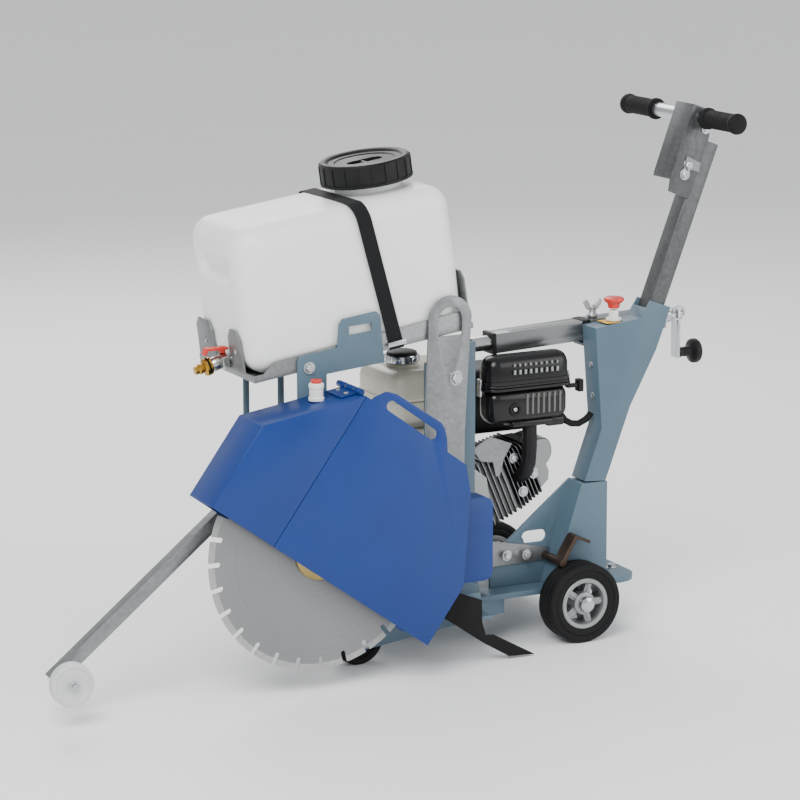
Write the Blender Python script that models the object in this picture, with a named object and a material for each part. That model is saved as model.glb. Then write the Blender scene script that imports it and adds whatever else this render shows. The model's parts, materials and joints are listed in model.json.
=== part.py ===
"""Walk-behind concrete saw: a rolling chassis, and a deck with engine, blade and tank that tilts on it.

Machine coordinates are millimetres: x to the operator's end, y away from the blade, z up from the
ground, with y = 0 in the middle of the blade.
"""
import math

import bmesh
import bpy
from mathutils import Matrix, Vector

MM = 0.001
GAP = 0.3                      # left between solids that touch

# overall reach of the machine, which puts the origin in the middle of its footprint
FRONT_REACH = -661.0           # front of the sight roller
REAR_REACH = 644.3             # back of the crank knob
BLADE_SIDE_REACH = -48.0       # outer face of the blade guard
FAR_SIDE_REACH = 434.0         # nut on the far rear wheel
MID_X = (FRONT_REACH + REAR_REACH) / 2
MID_Y = (BLADE_SIDE_REACH + FAR_SIDE_REACH) / 2

# blade and its drive
BLADE_X, BLADE_Z = -186.0, 241.0
BLADE_RADIUS = 200.0
BLADE_THICK = 3.2
SEGMENTS = 28
SLOT_WIDTH, SLOT_DEPTH = 8.5, 16.0
ARBOR_RADIUS = 12.7
FLANGE_RADIUS = 47.0
FLANGE_THICK = 12.0
ARBOR_PULLEY_RADIUS = 40.0
ENGINE_PULLEY_RADIUS = 28.0
BELT_THICK = 7.0
BELT_Y0, BELT_Y1 = 19.0, 37.0
CRANK_X, CRANK_Z = 99.0, 230.0

# blade guard, drawn along its own bottom edge (u to the back, w up) around the blade centre
GUARD_TILT = math.radians(36.0)
GUARD_NEAR, GUARD_FAR = -48.0, 45.0
GUARD_WALL = 3.0
GUARD_FRONT, GUARD_REAR = -237.0, 242.0
GUARD_BOTTOM, GUARD_TOP = -36.0, 250.0
GUARD_SPLIT = -104.0           # where the hinged front part ends

# sight arm
SIGHT_PIVOT = (-250.0, 379.0)
SIGHT_ROLLER = (-625.0, 77.0)
SIGHT_ROLLER_RADIUS = 36.0

# deck and its pivot on the chassis
LIFT_SPACER_END = 97.1         # of the lifting plate's spacers, just short of the deck's post
PIVOT_X, PIVOT_Z = 95.0, 100.0
PIVOT_RADIUS = 8.0
DECK_NEAR, DECK_FAR = 104.0, 330.0
DECK_PLATE_Z0, DECK_PLATE_Z1 = 100.0, 108.0
PLATFORM_Z = 205.0
CYLINDER_TILT = math.radians(23.0)

# air cleaner
AIR_X0, AIR_X1 = 170.0, 345.0
AIR_NEAR, AIR_FAR = 80.0, 139.0

# water tank, drawn in its own frame (s to the back, h up) from its front bottom corner
TANK_X, TANK_Z = -274.0, 526.0
TANK_TILT = math.radians(8.1)
TANK_LENGTH, TANK_HEIGHT = 400.0, 247.0
TANK_NEAR, TANK_FAR = 54.0, 269.0
TANK_CAP_S, TANK_CAP_Y = 295.0, 160.0
CAP_RADIUS = 78.5
TAP_Y = 150.0
TANK_SKIN = 4.0
TRAY_WALL = 3.0

# chassis
WHEEL_X, WHEEL_RADIUS, WHEEL_WIDTH = 348.6, 71.0, 48.0
RIM_RADIUS = 46.0
WHEEL_NEAR_Y, WHEEL_FAR_Y = 42.0, 374.0
AXLE_RADIUS = 10.0
FRONT_WHEEL_X, FRONT_WHEEL_RADIUS, FRONT_WHEEL_WIDTH = -60.0, 45.0, 28.0
FRONT_AXLE_RADIUS = 8.0
BASE_Z0, BASE_Z1 = 84.0, 94.0
BASE_NEAR, BASE_FAR = 95.0, 345.0
COLUMN_NEAR, COLUMN_FAR = 95.0, 141.0
COLUMN_WALL = 3.0

# lifting spindle
SPINDLE_Y = 160.0
SPINDLE_PIVOT_X, SPINDLE_PIVOT_Z = 420.0, 537.0
SPINDLE_TILT = math.radians(2.63)
SPINDLE_HALF_WIDE, SPINDLE_HALF_HIGH = 17.7, 17.0
SPINDLE_WALL = 3.0
SPINDLE_FRONT, SPINDLE_BACK = 205.0, -145.0
EYE_REACH = 275.0              # from the spindle pivot to the pin on the deck
ROD_RADIUS = 13.0

CRANK_ARM_X = 594.0
CRANK_THROW = 68.0

# emergency stop, on top of the column
STOP_X, STOP_Y, STOP_Z = 441.0, 117.0, 555.4

# handle
HANDLE_LEAN = math.radians(20.8)
HANDLE_FOOT_X, HANDLE_FOOT_Z = 522.0, 585.0
HANDLE_DEPTH = 30.0
HANDLE_NEAR, HANDLE_FAR = 100.0, 136.0
PIN_ALONG = -16.3              # of the locking bolt, down the handle tube from its foot point
PIN_HOLE = 5.5
HANDLE_TRAVEL = 80.0
BAR_X, BAR_Z, BAR_RADIUS = 604.0, 903.0, 12.5
BAR_NEAR, BAR_FAR = -15.0, 345.0

PAINT_BLUE = ("blue_enamel", "#27539A", 0.35, 0.0)
PAINT_GREY = ("grey_blue_enamel", "#6F8490", 0.45, 0.0)
ZINC = ("galvanised_steel", "#9A9C9A", 0.45, 0.9)
STEEL = ("bright_steel", "#B9BCBE", 0.3, 1.0)
BRASS = ("brass", "#B08A3A", 0.35, 1.0)
YELLOW_ZINC = ("yellow_zinc", "#A5905E", 0.4, 0.9)
ALUMINIUM = ("cast_aluminium", "#A7A9A8", 0.5, 0.9)
DARK_METAL = ("black_enamel", "#1C1C1E", 0.45, 0.2)
BLACK_PLASTIC = ("black_plastic", "#1A1A1B", 0.5, 0.0)
RUBBER = ("rubber", "#161617", 0.8, 0.0)
RED_PLASTIC = ("red_plastic", "#C8352B", 0.4, 0.0)
WHITE_PLASTIC = ("white_plastic", "#E3E4E0", 0.4, 0.0)
CREAM_ENAMEL = ("cream_enamel", "#D9D5C2", 0.35, 0.0)
RUSTY = ("browned_steel", "#5A4636", 0.6, 0.7)


# ---------------------------------------------------------------- scene and material helpers

def clear_scene():
    for item in list(bpy.data.objects):
        bpy.data.objects.remove(item, do_unlink=True)


def linear(hex_colour):
    parts = [int(hex_colour[i:i + 2], 16) / 255 for i in (1, 3, 5)]
    return [c / 12.92 if c <= 0.04045 else ((c + 0.055) / 1.055) ** 2.4 for c in parts] + [1.0]


def make_material(name, finish):
    material = bpy.data.materials.new(name + "_" + finish[0])
    material.use_nodes = True
    shader = material.node_tree.nodes["Principled BSDF"]
    shader.inputs["Base Color"].default_value = linear(finish[1])
    shader.inputs["Roughness"].default_value = finish[2]
    shader.inputs["Metallic"].default_value = finish[3]
    return material


def world(x, y, z):
    return Vector((x - MID_X, y - MID_Y, z)) * MM


def body(name, x, y, z, parent=None):
    """An empty on a joint's axis, which carries the pieces that move with it."""
    empty = bpy.data.objects.new("body_" + name, None)
    bpy.context.scene.collection.objects.link(empty)
    place = world(x, y, z)
    empty["place"] = list(place)
    if parent:
        empty.parent = parent
        place = place - Vector(parent["place"])
    empty.location = place
    return empty


def add(name, mesh_builder, finish, parent):
    """Turns a bmesh in machine millimetres into an object that hangs from its body's empty."""
    bm = mesh_builder
    bmesh.ops.remove_doubles(bm, verts=bm.verts, dist=0.001)
    bmesh.ops.recalc_face_normals(bm, faces=bm.faces)
    origin = Vector(parent["place"])
    for vert in bm.verts:
        vert.co = world(*vert.co) - origin
    mesh = bpy.data.meshes.new(name)
    bm.to_mesh(mesh)
    bm.free()
    mesh.shade_smooth()
    mesh.set_sharp_from_angle(angle=math.radians(32))
    mesh.materials.append(make_material(name, finish))
    item = bpy.data.objects.new(name, mesh)
    bpy.context.scene.collection.objects.link(item)
    item.parent = parent
    return item


def boolean(item, bm, operation):
    """Cuts or joins a helper shape; the helper stays in the scene as a hidden guide."""
    parent = item.parent
    count = len(item.modifiers)
    helper = add(f"{item.name}_tool_{count}", bm, ZINC, parent)
    helper.hide_render = True
    helper.display_type = 'WIRE'
    modifier = item.modifiers.new(f"{operation}_{count}", 'BOOLEAN')
    modifier.operation = operation
    modifier.object = helper
    return item


def cut(item, *shapes):
    for shape in shapes:
        boolean(item, shape, 'DIFFERENCE')
    return item


def weld(item, *shapes):
    for shape in shapes:
        boolean(item, shape, 'UNION')
    return item


# ---------------------------------------------------------------- shape helpers

def arc(cx, cz, radius, start, end, steps):
    """Points from one angle to another, in degrees."""
    angles = [math.radians(start + (end - start) * i / steps) for i in range(steps + 1)]
    return [(cx + radius * math.cos(a), cz + radius * math.sin(a)) for a in angles]


def slot(cx, cz, length, width, tilt=0.0, steps=6):
    """A slot with round ends, its length measured overall."""
    half = (length - width) / 2
    points = arc(half, 0, width / 2, -90, 90, steps) + arc(-half, 0, width / 2, 90, 270, steps)
    c, s = math.cos(tilt), math.sin(tilt)
    return [(cx + x * c - z * s, cz + x * s + z * c) for x, z in points]


def rounded_rect(x0, x1, z0, z1, radius, steps=4):
    return (arc(x1 - radius, z1 - radius, radius, 0, 90, steps)
            + arc(x0 + radius, z1 - radius, radius, 90, 180, steps)
            + arc(x0 + radius, z0 + radius, radius, 180, 270, steps)
            + arc(x1 - radius, z0 + radius, radius, 270, 360, steps))


def extrude(points, direction):
    bm = bmesh.new()
    face = bm.faces.new([bm.verts.new(p) for p in points])
    moved = bmesh.ops.extrude_face_region(bm, geom=[face])
    verts = [v for v in moved["geom"] if isinstance(v, bmesh.types.BMVert)]
    bmesh.ops.translate(bm, vec=direction, verts=verts)
    return bm


def sheet(outline, y0, y1):
    """An outline in x and z, extruded across the machine."""
    return extrude([(x, y0, z) for x, z in outline], (0, y1 - y0, 0))


def slab(outline, z0, z1):
    """An outline in x and y, extruded upwards."""
    return extrude([(x, y, z0) for x, y in outline], (0, 0, z1 - z0))


def block(x0, x1, y0, y1, z0, z1):
    return sheet([(x0, z0), (x1, z0), (x1, z1), (x0, z1)], y0, y1)


def aim(axis):
    return Vector((0, 0, 1)).rotation_difference(Vector(axis)).to_matrix()


def turned(profile, centre, axis, steps=24, ring=False):
    """A profile of (radius, height) spun round an axis; a ring's profile is closed."""
    bm = bmesh.new()
    verts = [bm.verts.new((r, 0, h)) for r, h in profile]
    pairs = list(zip(verts, verts[1:]))
    if ring:
        pairs.append((verts[-1], verts[0]))
    edges = [bm.edges.new((a, b)) for a, b in pairs if a.co.x > 0 or b.co.x > 0]
    bmesh.ops.spin(bm, geom=verts + edges, cent=(0, 0, 0), axis=(0, 0, 1), angle=2 * math.pi,
                   steps=steps, use_merge=True)
    bmesh.ops.remove_doubles(bm, verts=bm.verts, dist=0.001)
    bmesh.ops.rotate(bm, cent=(0, 0, 0), matrix=aim(axis), verts=bm.verts)
    bmesh.ops.translate(bm, vec=centre, verts=bm.verts)
    return bm


def rod(centre, axis, radius, length, steps=20):
    """A plain cylinder that starts at its centre point."""
    return turned([(0, 0), (radius, 0), (radius, length), (0, length)], centre, axis, steps)


def rounded_block(x0, x1, y0, y1, z0, z1, radius, segments=2):
    bm = block(x0, x1, y0, y1, z0, z1)
    bmesh.ops.bevel(bm, geom=bm.edges, offset=radius, offset_type='OFFSET', segments=segments,
                    profile=0.5, affect='EDGES', clamp_overlap=True, material=-1)
    return bm


def turn_about_y(bm, angle, x, z):
    """Turns a shape so that what lies to the back goes up."""
    bmesh.ops.rotate(bm, cent=(x, 0, z), matrix=Matrix.Rotation(-angle, 3, 'Y'), verts=bm.verts)
    return bm


def guard_point(u, w):
    c, s = math.cos(GUARD_TILT), math.sin(GUARD_TILT)
    return BLADE_X + u * c + w * s, BLADE_Z - u * s + w * c


def guard_sheet(outline, y0, y1):
    return sheet([guard_point(u, w) for u, w in outline], y0, y1)


def tank_point(s, h):
    c, n = math.cos(TANK_TILT), math.sin(TANK_TILT)
    return TANK_X + s * c - h * n, TANK_Z + s * n + h * c


def tank_sheet(outline, y0, y1):
    return sheet([tank_point(s, h) for s, h in outline], y0, y1)


def tank_block(s0, s1, y0, y1, h0, h1):
    return tank_sheet([(s0, h0), (s1, h0), (s1, h1), (s0, h1)], y0, y1)


def tilted(bm):
    """Moves a shape drawn in the tank's frame, with x as s and z as h, to its place."""
    turn_about_y(bm, TANK_TILT, 0, 0)
    bmesh.ops.translate(bm, vec=(TANK_X, 0, TANK_Z), verts=bm.verts)
    return bm


def engine_point(along, across):
    """Along the cylinder from the crankshaft, and across it."""
    c, s = math.cos(CYLINDER_TILT), math.sin(CYLINDER_TILT)
    return CRANK_X + along * c - across * s, CRANK_Z + along * s + across * c


def spindle_point(along, across=0.0):
    """Along the spindle from its pivot to the front, and up across it."""
    c, s = math.cos(SPINDLE_TILT), math.sin(SPINDLE_TILT)
    return SPINDLE_PIVOT_X - along * c - across * s, SPINDLE_PIVOT_Z - along * s + across * c


def handle_point(along, across=0.0):
    """Up the handle tube from its foot, and to its back."""
    c, s = math.cos(HANDLE_LEAN), math.sin(HANDLE_LEAN)
    return HANDLE_FOOT_X + along * s + across * c, HANDLE_FOOT_Z + along * c - across * s


# ---------------------------------------------------------------- chassis

def build_base(chassis):
    plan = rounded_rect(110, 492, BASE_NEAR, BASE_FAR, 38)
    base = add("base_frame", slab(plan, BASE_Z0, BASE_Z1), PAINT_GREY, chassis)
    arm = ([(215, 60), (215, BASE_Z0 + 2), (112, BASE_Z0 + 2), (113, 100)]
           + arc(PIVOT_X, PIVOT_Z, 18, 0, 160, 8)
           + arc(FRONT_WHEEL_X, FRONT_WHEEL_RADIUS, 16, 90, 280, 8))
    lug = [(WHEEL_X - 24, BASE_Z0 + 3)] + arc(WHEEL_X, WHEEL_RADIUS, 19, 180, 360, 8)
    lug += [(WHEEL_X + 24, BASE_Z0 + 3)]
    for y in (BASE_NEAR + 1, BASE_FAR - 7):
        weld(base, sheet(arm, y, y + 6), sheet(lug, y, y + 6))
    weld(base, block(115, 150, 24, BASE_NEAR + 3, 76, 82), block(90, 128, 23.3, 27, 76, 126))
    across = BASE_FAR - BASE_NEAR + 20
    for x, z, radius in ((FRONT_WHEEL_X, FRONT_WHEEL_RADIUS, FRONT_AXLE_RADIUS),
                         (PIVOT_X, PIVOT_Z, PIVOT_RADIUS), (WHEEL_X, WHEEL_RADIUS, AXLE_RADIUS)):
        cut(base, rod((x, BASE_NEAR - 10, z), (0, 1, 0), radius + GAP, across, 16))


def build_column_foot(chassis):
    foot = BASE_Z1 + GAP
    outline = [(421, foot), (420, 273), (368, 274), (310, foot)]
    post = add("column_foot", sheet(outline, COLUMN_NEAR, COLUMN_FAR), PAINT_GREY, chassis)
    gusset = [(380, foot), (380, 270), (367, 276), (241, 175), (208, 149), (208, foot)]
    inner = [(416, foot - 5), (416, 268), (371, 268), (319, foot - 5)]
    cut(post, sheet(inner, COLUMN_NEAR + 4, COLUMN_FAR - 4))
    weld(post, sheet(gusset, COLUMN_FAR - 5, COLUMN_FAR))
    cut(post, sheet(slot(296, 178, 50, 22), 120, 150))


def build_column(chassis):
    foot = 274 + GAP
    outline = [(416, foot), (464, 403), (516, 500), (544, 573), (503, 588), (483, 558), (392, 548),
               (407, 369), (374, foot + 3)]
    column = add("column", sheet(outline, COLUMN_NEAR, COLUMN_FAR), PAINT_GREY, chassis)
    inner = [(413, foot - 5), (415, foot + 6), (461, 404), (513, 501), (541, 573), (545, 585),
             (506, 600), (485, 554.5), (395.5, 545), (410, 369), (379, foot + 6), (379, foot - 5)]
    cut(column, sheet(inner, COLUMN_NEAR + COLUMN_WALL, COLUMN_FAR - COLUMN_WALL))
    cut(column, rod((STOP_X, 117, 540), (0, 0, 1), 8.5, 30, 16))
    pin_x, pin_z = handle_point(PIN_ALONG, 18)
    cut(column, rod((pin_x, 117, pin_z), handle_normal(), PIN_HOLE, 20, 12))
    x, z = SPINDLE_PIVOT_X, SPINDLE_PIVOT_Z
    far = SPINDLE_Y + SPINDLE_HALF_WIDE + 1.3
    weld(column, block(x - 20, x + 20, COLUMN_FAR - 2, far + 5, z - 30, z - 25),
         sheet([(x - 20, z - 30), (x + 20, z - 30), (x + 14, z + 12), (x - 14, z + 12)], far, far + 5),
         rod((x, COLUMN_FAR - 2, z), (0, 1, 0), 6, 6.8, 16),
         rod((x, far + 2, z), (0, -1, 0), 6, 6.4, 16))


def handle_normal():
    return (math.cos(HANDLE_LEAN), 0, -math.sin(HANDLE_LEAN))


def build_wheel(chassis, side, y):
    hub = body("rear_wheel_" + side, WHEEL_X, y + WHEEL_WIDTH / 2, WHEEL_RADIUS, chassis)
    centre = (WHEEL_X, y, WHEEL_RADIUS)
    r, w, rim = WHEEL_RADIUS, WHEEL_WIDTH, RIM_RADIUS
    tyre = [(rim, 3), (rim + 8, 0), (r - 8, 0), (r - 2, 4), (r, 12), (r, w - 12), (r - 2, w - 4),
            (r - 8, w), (rim + 8, w), (rim, w - 3)]
    add("rear_tyre_" + side, turned(tyre, centre, (0, 1, 0), 36, ring=True), RUBBER, hub)
    disc = [(AXLE_RADIUS + GAP, 4), (20, 4), (22, 12), (rim - 8, 12), (rim - 4, 5), (rim - GAP, 5),
            (rim - GAP, w - 5), (rim - 4, w - 5), (rim - 8, w - 14), (22, w - 14), (20, w - 4),
            (AXLE_RADIUS + GAP, w - 4)]
    wheel = add("rear_rim_" + side, turned(disc, centre, (0, 1, 0), 30, ring=True), ALUMINIUM, hub)
    for i in range(5):
        a = math.radians(72 * i + 54)
        hole = (WHEEL_X + 30.5 * math.cos(a), y - 5, WHEEL_RADIUS + 30.5 * math.sin(a))
        cut(wheel, rod(hole, (0, 1, 0), 7.0, w + 10, 10))


def build_rear_axle(chassis):
    z = WHEEL_RADIUS
    near, far = WHEEL_NEAR_Y, WHEEL_FAR_Y + WHEEL_WIDTH
    profile = [(0, -9), (8, -9), (14, -7), (14, 2), (AXLE_RADIUS, 2), (AXLE_RADIUS, far - near - 2),
               (14, far - near - 2), (14, far - near + 7), (8, far - near + 12), (0, far - near + 12)]
    add("rear_axle", turned(profile, (WHEEL_X, near, z), (0, 1, 0), 20), ZINC, chassis)


def build_front_wheels(chassis):
    z = FRONT_WHEEL_RADIUS
    start, end = BASE_NEAR - 5, BASE_FAR + 5
    profile = [(0, 0), (12, 0), (12, 5), (FRONT_AXLE_RADIUS, 5), (FRONT_AXLE_RADIUS, end - start - 5),
               (12, end - start - 5), (12, end - start), (0, end - start)]
    add("front_axle", turned(profile, (FRONT_WHEEL_X, start, z), (0, 1, 0), 16), ZINC, chassis)
    w, r = FRONT_WHEEL_WIDTH, FRONT_WHEEL_RADIUS
    shape = [(FRONT_AXLE_RADIUS + GAP, 0), (16, 0), (18, 5), (r - 12, 5), (r - 8, 0), (r - 3, 1), (r, 6),
             (r, w - 6), (r - 3, w - 1), (r - 8, w), (r - 12, w - 5), (18, w - 5), (16, w),
             (FRONT_AXLE_RADIUS + GAP, w)]
    for side, y in (("near", BASE_NEAR + 11), ("far", BASE_FAR - 11 - w)):
        hub = body("front_wheel_" + side, FRONT_WHEEL_X, y + w / 2, z, chassis)
        add("front_wheel_" + side, turned(shape, (FRONT_WHEEL_X, y, z), (0, 1, 0), 32, ring=True),
            RUBBER, hub)


def build_splash_flap(chassis):
    """Stiff rubber flap that hangs behind the blade and trails on the ground."""
    outline = [(76, 134), (128, 113), (129, 74), (136, 50), (153, 48), (233, 3), (182, 6), (134, 35),
               (78, 75), (57, 89)]
    add("splash_flap", sheet(outline, 18, 23), RUBBER, chassis)


def build_pedal(chassis):
    """Catch plate on the gusset, and the locking pedal hinged beside it."""
    y = COLUMN_FAR - 5 - GAP
    outline = [(209, 180), (300, 161), (324, 156), (319, 133), (306, 134), (207, 133)]
    catch = add("catch_plate", sheet(outline, y - 3.7, y), ZINC, chassis)
    for x, z in ((235, 153), (275, 150)):
        weld(catch, rod((x, y - 3, z), (0, -1, 0), 7, 8, 6))
    axis = body("lock_pedal", 316, 100, 143, chassis)
    start = y - 3.7 - GAP
    pedal = add("lock_pedal", rod((316, start, 143), (0, -1, 0), 7, start - 66, 16), RUSTY, axis)
    tread = [(312, 146), (338, 188), (343, 190), (371, 177), (369, 172), (343, 184), (320, 142)]
    weld(pedal, sheet(tread, 66.5, 92))


def build_estop(chassis):
    place = (STOP_X, STOP_Y, STOP_Z)
    base = [(0, -14), (8, -14), (8, 0), (14, 0), (14, 5), (8, 7), (8, 18), (0, 18)]
    add("stop_switch_base", turned(base, place, (0, 0, 1), 20), WHITE_PLASTIC, chassis)
    axis = body("stop_button", STOP_X, STOP_Y, STOP_Z + 26, chassis)
    mushroom = [(0, 23), (9, 23), (17, 33), (18, 36), (17, 39), (10, 42), (0, 43)]
    add("stop_button", turned(mushroom, place, (0, 0, 1), 24), RED_PLASTIC, axis)


def build_lock_pin(chassis):
    """Spring bolt with a pull ring that locks the handle tube in its sleeve."""
    x, z = handle_point(PIN_ALONG, 28)
    normal = handle_normal()
    axis = body("handle_lock_pin", x, 117, z, chassis)
    profile = [(0, -16), (5, -16), (5, 0), (8, 0.6), (8, 14), (4, 16), (4, 22), (0, 22)]
    pin = add("handle_lock_pin", turned(profile, (x, 117, z), normal, 16), STEEL, axis)
    section = arc(10.5, 0, 2, 0, 300, 5)
    weld(pin, turned(section, (x + 32, 117, z - 3), (0, 1, 0), 20, ring=True))


def along_spindle(start, end, radius, steps=20):
    """A cylinder on the spindle's axis between two distances from its pivot."""
    x, z = spindle_point(start)
    axis = (-math.cos(SPINDLE_TILT), 0, -math.sin(SPINDLE_TILT))
    return rod((x, SPINDLE_Y, z), axis, radius, end - start, steps)


def spindle_bar(start, end, low, high, y0, y1):
    corners = [spindle_point(a, b) for a, b in ((start, low), (end, low), (end, high), (start, high))]
    return sheet(corners, y0, y1)


def build_spindle(chassis):
    """Square outer tube on its pivot, with the push rod, crank and clamp screw that ride on it."""
    swing = body("spindle", SPINDLE_PIVOT_X, SPINDLE_Y, SPINDLE_PIVOT_Z, chassis)
    wide, high, wall = SPINDLE_HALF_WIDE, SPINDLE_HALF_HIGH, SPINDLE_WALL
    tube = add("spindle_tube", spindle_bar(SPINDLE_BACK, SPINDLE_FRONT, -high, high, SPINDLE_Y - wide,
                                           SPINDLE_Y + wide), ZINC, swing)
    cut(tube, spindle_bar(SPINDLE_BACK + 6, SPINDLE_FRONT + 5, wall - high, high - wall,
                          SPINDLE_Y - wide + wall, SPINDLE_Y + wide - wall),
        along_spindle(SPINDLE_BACK - 5, SPINDLE_BACK + 10, 7.5),
        rod((SPINDLE_PIVOT_X, SPINDLE_Y - 30, SPINDLE_PIVOT_Z), (0, 1, 0), 6 + GAP, 60, 16))
    build_push_rod(swing)
    build_crank(swing)
    build_clamp_screw(swing)


def build_push_rod(swing):
    """Round tube whose flattened end carries the eye beside the deck's pin."""
    ex, ez = spindle_point(EYE_REACH)
    slide = body("push_rod", ex, SPINDLE_Y, ez, swing)
    push = add("push_rod", along_spindle(-104, EYE_REACH + 16, ROD_RADIUS, 24), STEEL, slide)
    cut(push, along_spindle(-110, 200, 8.5, 16),
        spindle_bar(EYE_REACH - 34, EYE_REACH + 30, -20, 20, SPINDLE_Y - 20, SPINDLE_Y + 2))


def build_crank(swing):
    cx, cz = spindle_point(SPINDLE_BACK - 4)
    hub = body("crank", cx, SPINDLE_Y, cz, swing)
    crank = add("crank", along_spindle(SPINDLE_BACK - 44, 180, 7, 16), STEEL, hub)
    weld(crank, along_spindle(SPINDLE_BACK - 16, SPINDLE_BACK - 1, 13, 6))
    top = cz + 12
    grip_z = cz - CRANK_THROW
    plate = [(CRANK_ARM_X, top), (CRANK_ARM_X + 6, top), (CRANK_ARM_X + 6, grip_z - 8),
             (CRANK_ARM_X, grip_z - 8)]
    weld(crank, sheet(plate, SPINDLE_Y - 11, SPINDLE_Y + 11),
         rod((CRANK_ARM_X + 3, SPINDLE_Y, grip_z), (1, 0, 0), 5, 39, 12))
    knob_x = CRANK_ARM_X + 6 + GAP
    grip = body("crank_knob", knob_x, SPINDLE_Y, grip_z, hub)
    profile = [(5 + GAP, 0), (9, 0), (9, 22), (12, 26), (20, 28), (22, 33), (22, 39), (18, 43), (0, 44),
               (0, 37), (5 + GAP, 37)]
    add("crank_knob", turned(profile, (knob_x, SPINDLE_Y, grip_z), (1, 0, 0), 24, ring=True),
        BLACK_PLASTIC, grip)


def build_clamp_screw(swing):
    """Wing screw that clamps the push rod through the top of the tube."""
    x, z = spindle_point(-4, SPINDLE_HALF_HIGH + 1)
    turn = body("clamp_screw", x, SPINDLE_Y, z, swing)
    screw = add("clamp_screw", turned([(0, 0), (9, 0), (9, 6), (6, 8), (6, 17), (0, 17)],
                                      (x, SPINDLE_Y, z), (0, 0, 1), 12), STEEL, turn)
    wings = [(x - 5, z + 10), (x + 5, z + 10), (x + 14, z + 20), (x + 17, z + 29), (x + 11, z + 32),
             (x, z + 18), (x - 11, z + 32), (x - 17, z + 29), (x - 14, z + 20)]
    weld(screw, sheet(wings, SPINDLE_Y - 2, SPINDLE_Y + 2))


def build_handle(chassis):
    fx, fz = handle_point(0)
    slide = body("handle", fx, (HANDLE_NEAR + HANDLE_FAR) / 2, fz, chassis)
    d = HANDLE_DEPTH / 2
    outline = [handle_point(a, b) for a, b in ((-112, -d), (292, -d), (292, d), (-112, d))]
    tube = add("handle_tube", sheet(outline, HANDLE_NEAR, HANDLE_FAR), ZINC, slide)
    hollow = [handle_point(a, b) for a, b in ((-120, 3 - d), (300, 3 - d), (300, d - 3), (-120, d - 3))]
    cut(tube, sheet(hollow, HANDLE_NEAR + 3, HANDLE_FAR - 3))
    ends = (PIN_ALONG, PIN_ALONG - HANDLE_TRAVEL)
    for along in ends:
        px, pz = handle_point(along)
        cut(tube, rod((px, 117, pz), handle_normal(), PIN_HOLE, 30, 12))
    corners = [handle_point(a, b) for a, b in ((ends[0], 2), (ends[0], 25), (ends[1], 25), (ends[1], 2))]
    cut(tube, sheet(corners, 117 - PIN_HOLE, 117 + PIN_HOLE))
    near, far = HANDLE_NEAR - GAP - 3, 153.0
    wrap = [(585, 928), (624, 914), (618, 868), (592, 800), (577, 762), (537, 778), (541, 806)]
    head = add("handle_head", sheet(wrap, near, far), ZINC, slide)
    cut(head, sheet([(588, 935), (640, 925), (640, 790), (543, 790), (544, 806)], near + 3, far - 3),
        block(530, 640, near + 3, far + 5, 750, 799),
        rod((BAR_X, near - 10, BAR_Z), (0, 1, 0), BAR_RADIUS + GAP, 90, 20))
    bar = rod((BAR_X, BAR_NEAR, BAR_Z), (0, 1, 0), BAR_RADIUS, BAR_FAR - BAR_NEAR, 20)
    add("handle_bar", bar, STEEL, slide)
    build_grips(slide)


def build_grips(slide):
    r = BAR_RADIUS + GAP
    length = 98.0
    profile = [(0, -5), (10, -5), (17, -1), (18.5, 6), (17, 12), (15.5, 16), (15.5, length - 8),
               (19, length - 6), (19, length), (r, length), (r, -GAP), (0, -GAP)]
    for side, y, way in (("near", BAR_NEAR, 1), ("far", BAR_FAR, -1)):
        add("grip_" + side, turned(profile, (BAR_X, y, BAR_Z), (0, way, 0), 20), RUBBER, slide)


# ---------------------------------------------------------------- deck: frame, drive and guard

def build_deck_frame(deck):
    frame = add("deck_frame", block(-5, 170, DECK_NEAR, DECK_FAR, DECK_PLATE_Z0, DECK_PLATE_Z1),
                PAINT_GREY, deck)
    cheek = [(169, 102), (169, 118), (40, 118), (4, 190), (4, 245), (-130, 285), (-221, 285), (-221, 204),
             (-4, 204), (-4, 102)]
    lug = [(79, 103)] + arc(PIVOT_X, PIVOT_Z, 15, 190, 350, 8) + [(111, 103)]
    for y in (DECK_NEAR + 0.5, DECK_FAR - 6.5):
        weld(frame, sheet(cheek, y, y + 6), sheet(lug, y + 0.5, y + 5.5))
    weld(frame, block(-219, -121, DECK_NEAR + 2, DECK_FAR - 2, PLATFORM_Z, PLATFORM_Z + 6),
         rod((BLADE_X, GUARD_FAR + 1, BLADE_Z), (0, 1, 0), 32, 105, 24))
    for y in (110, 250):
        weld(frame, rod((-200, y + 8, PLATFORM_Z + 3), (0, 0, 1), 5.5, 314, 12))
    post = [(120, 109), (156, 109), (156, 545), (134, 545), (62, 515), (62, 150), (108, 150), (120, 140)]
    ex, ez = spindle_point(EYE_REACH)
    weld(frame, sheet(post, 97.4, DECK_NEAR + 3), rod((ex, 100, ez), (0, 1, 0), 7, 61.5, 16))
    cut(frame, rod((PIVOT_X, DECK_NEAR - 10, PIVOT_Z), (0, 1, 0), PIVOT_RADIUS + GAP, 260, 16),
        rod((BLADE_X, 40, BLADE_Z), (0, 1, 0), 15 + GAP, 130, 20),
        rod((CRANK_X, 90, CRANK_Z), (0, 1, 0), 22, 25, 20))


def build_pivot_pin(chassis):
    start, end = BASE_NEAR - 4, BASE_FAR + 4
    profile = [(0, 0), (12, 0), (12, 4), (PIVOT_RADIUS, 4), (PIVOT_RADIUS, end - start - 4),
               (12, end - start - 4), (12, end - start), (0, end - start)]
    add("pivot_pin", turned(profile, (PIVOT_X, start, PIVOT_Z), (0, 1, 0), 16), STEEL, chassis)


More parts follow.
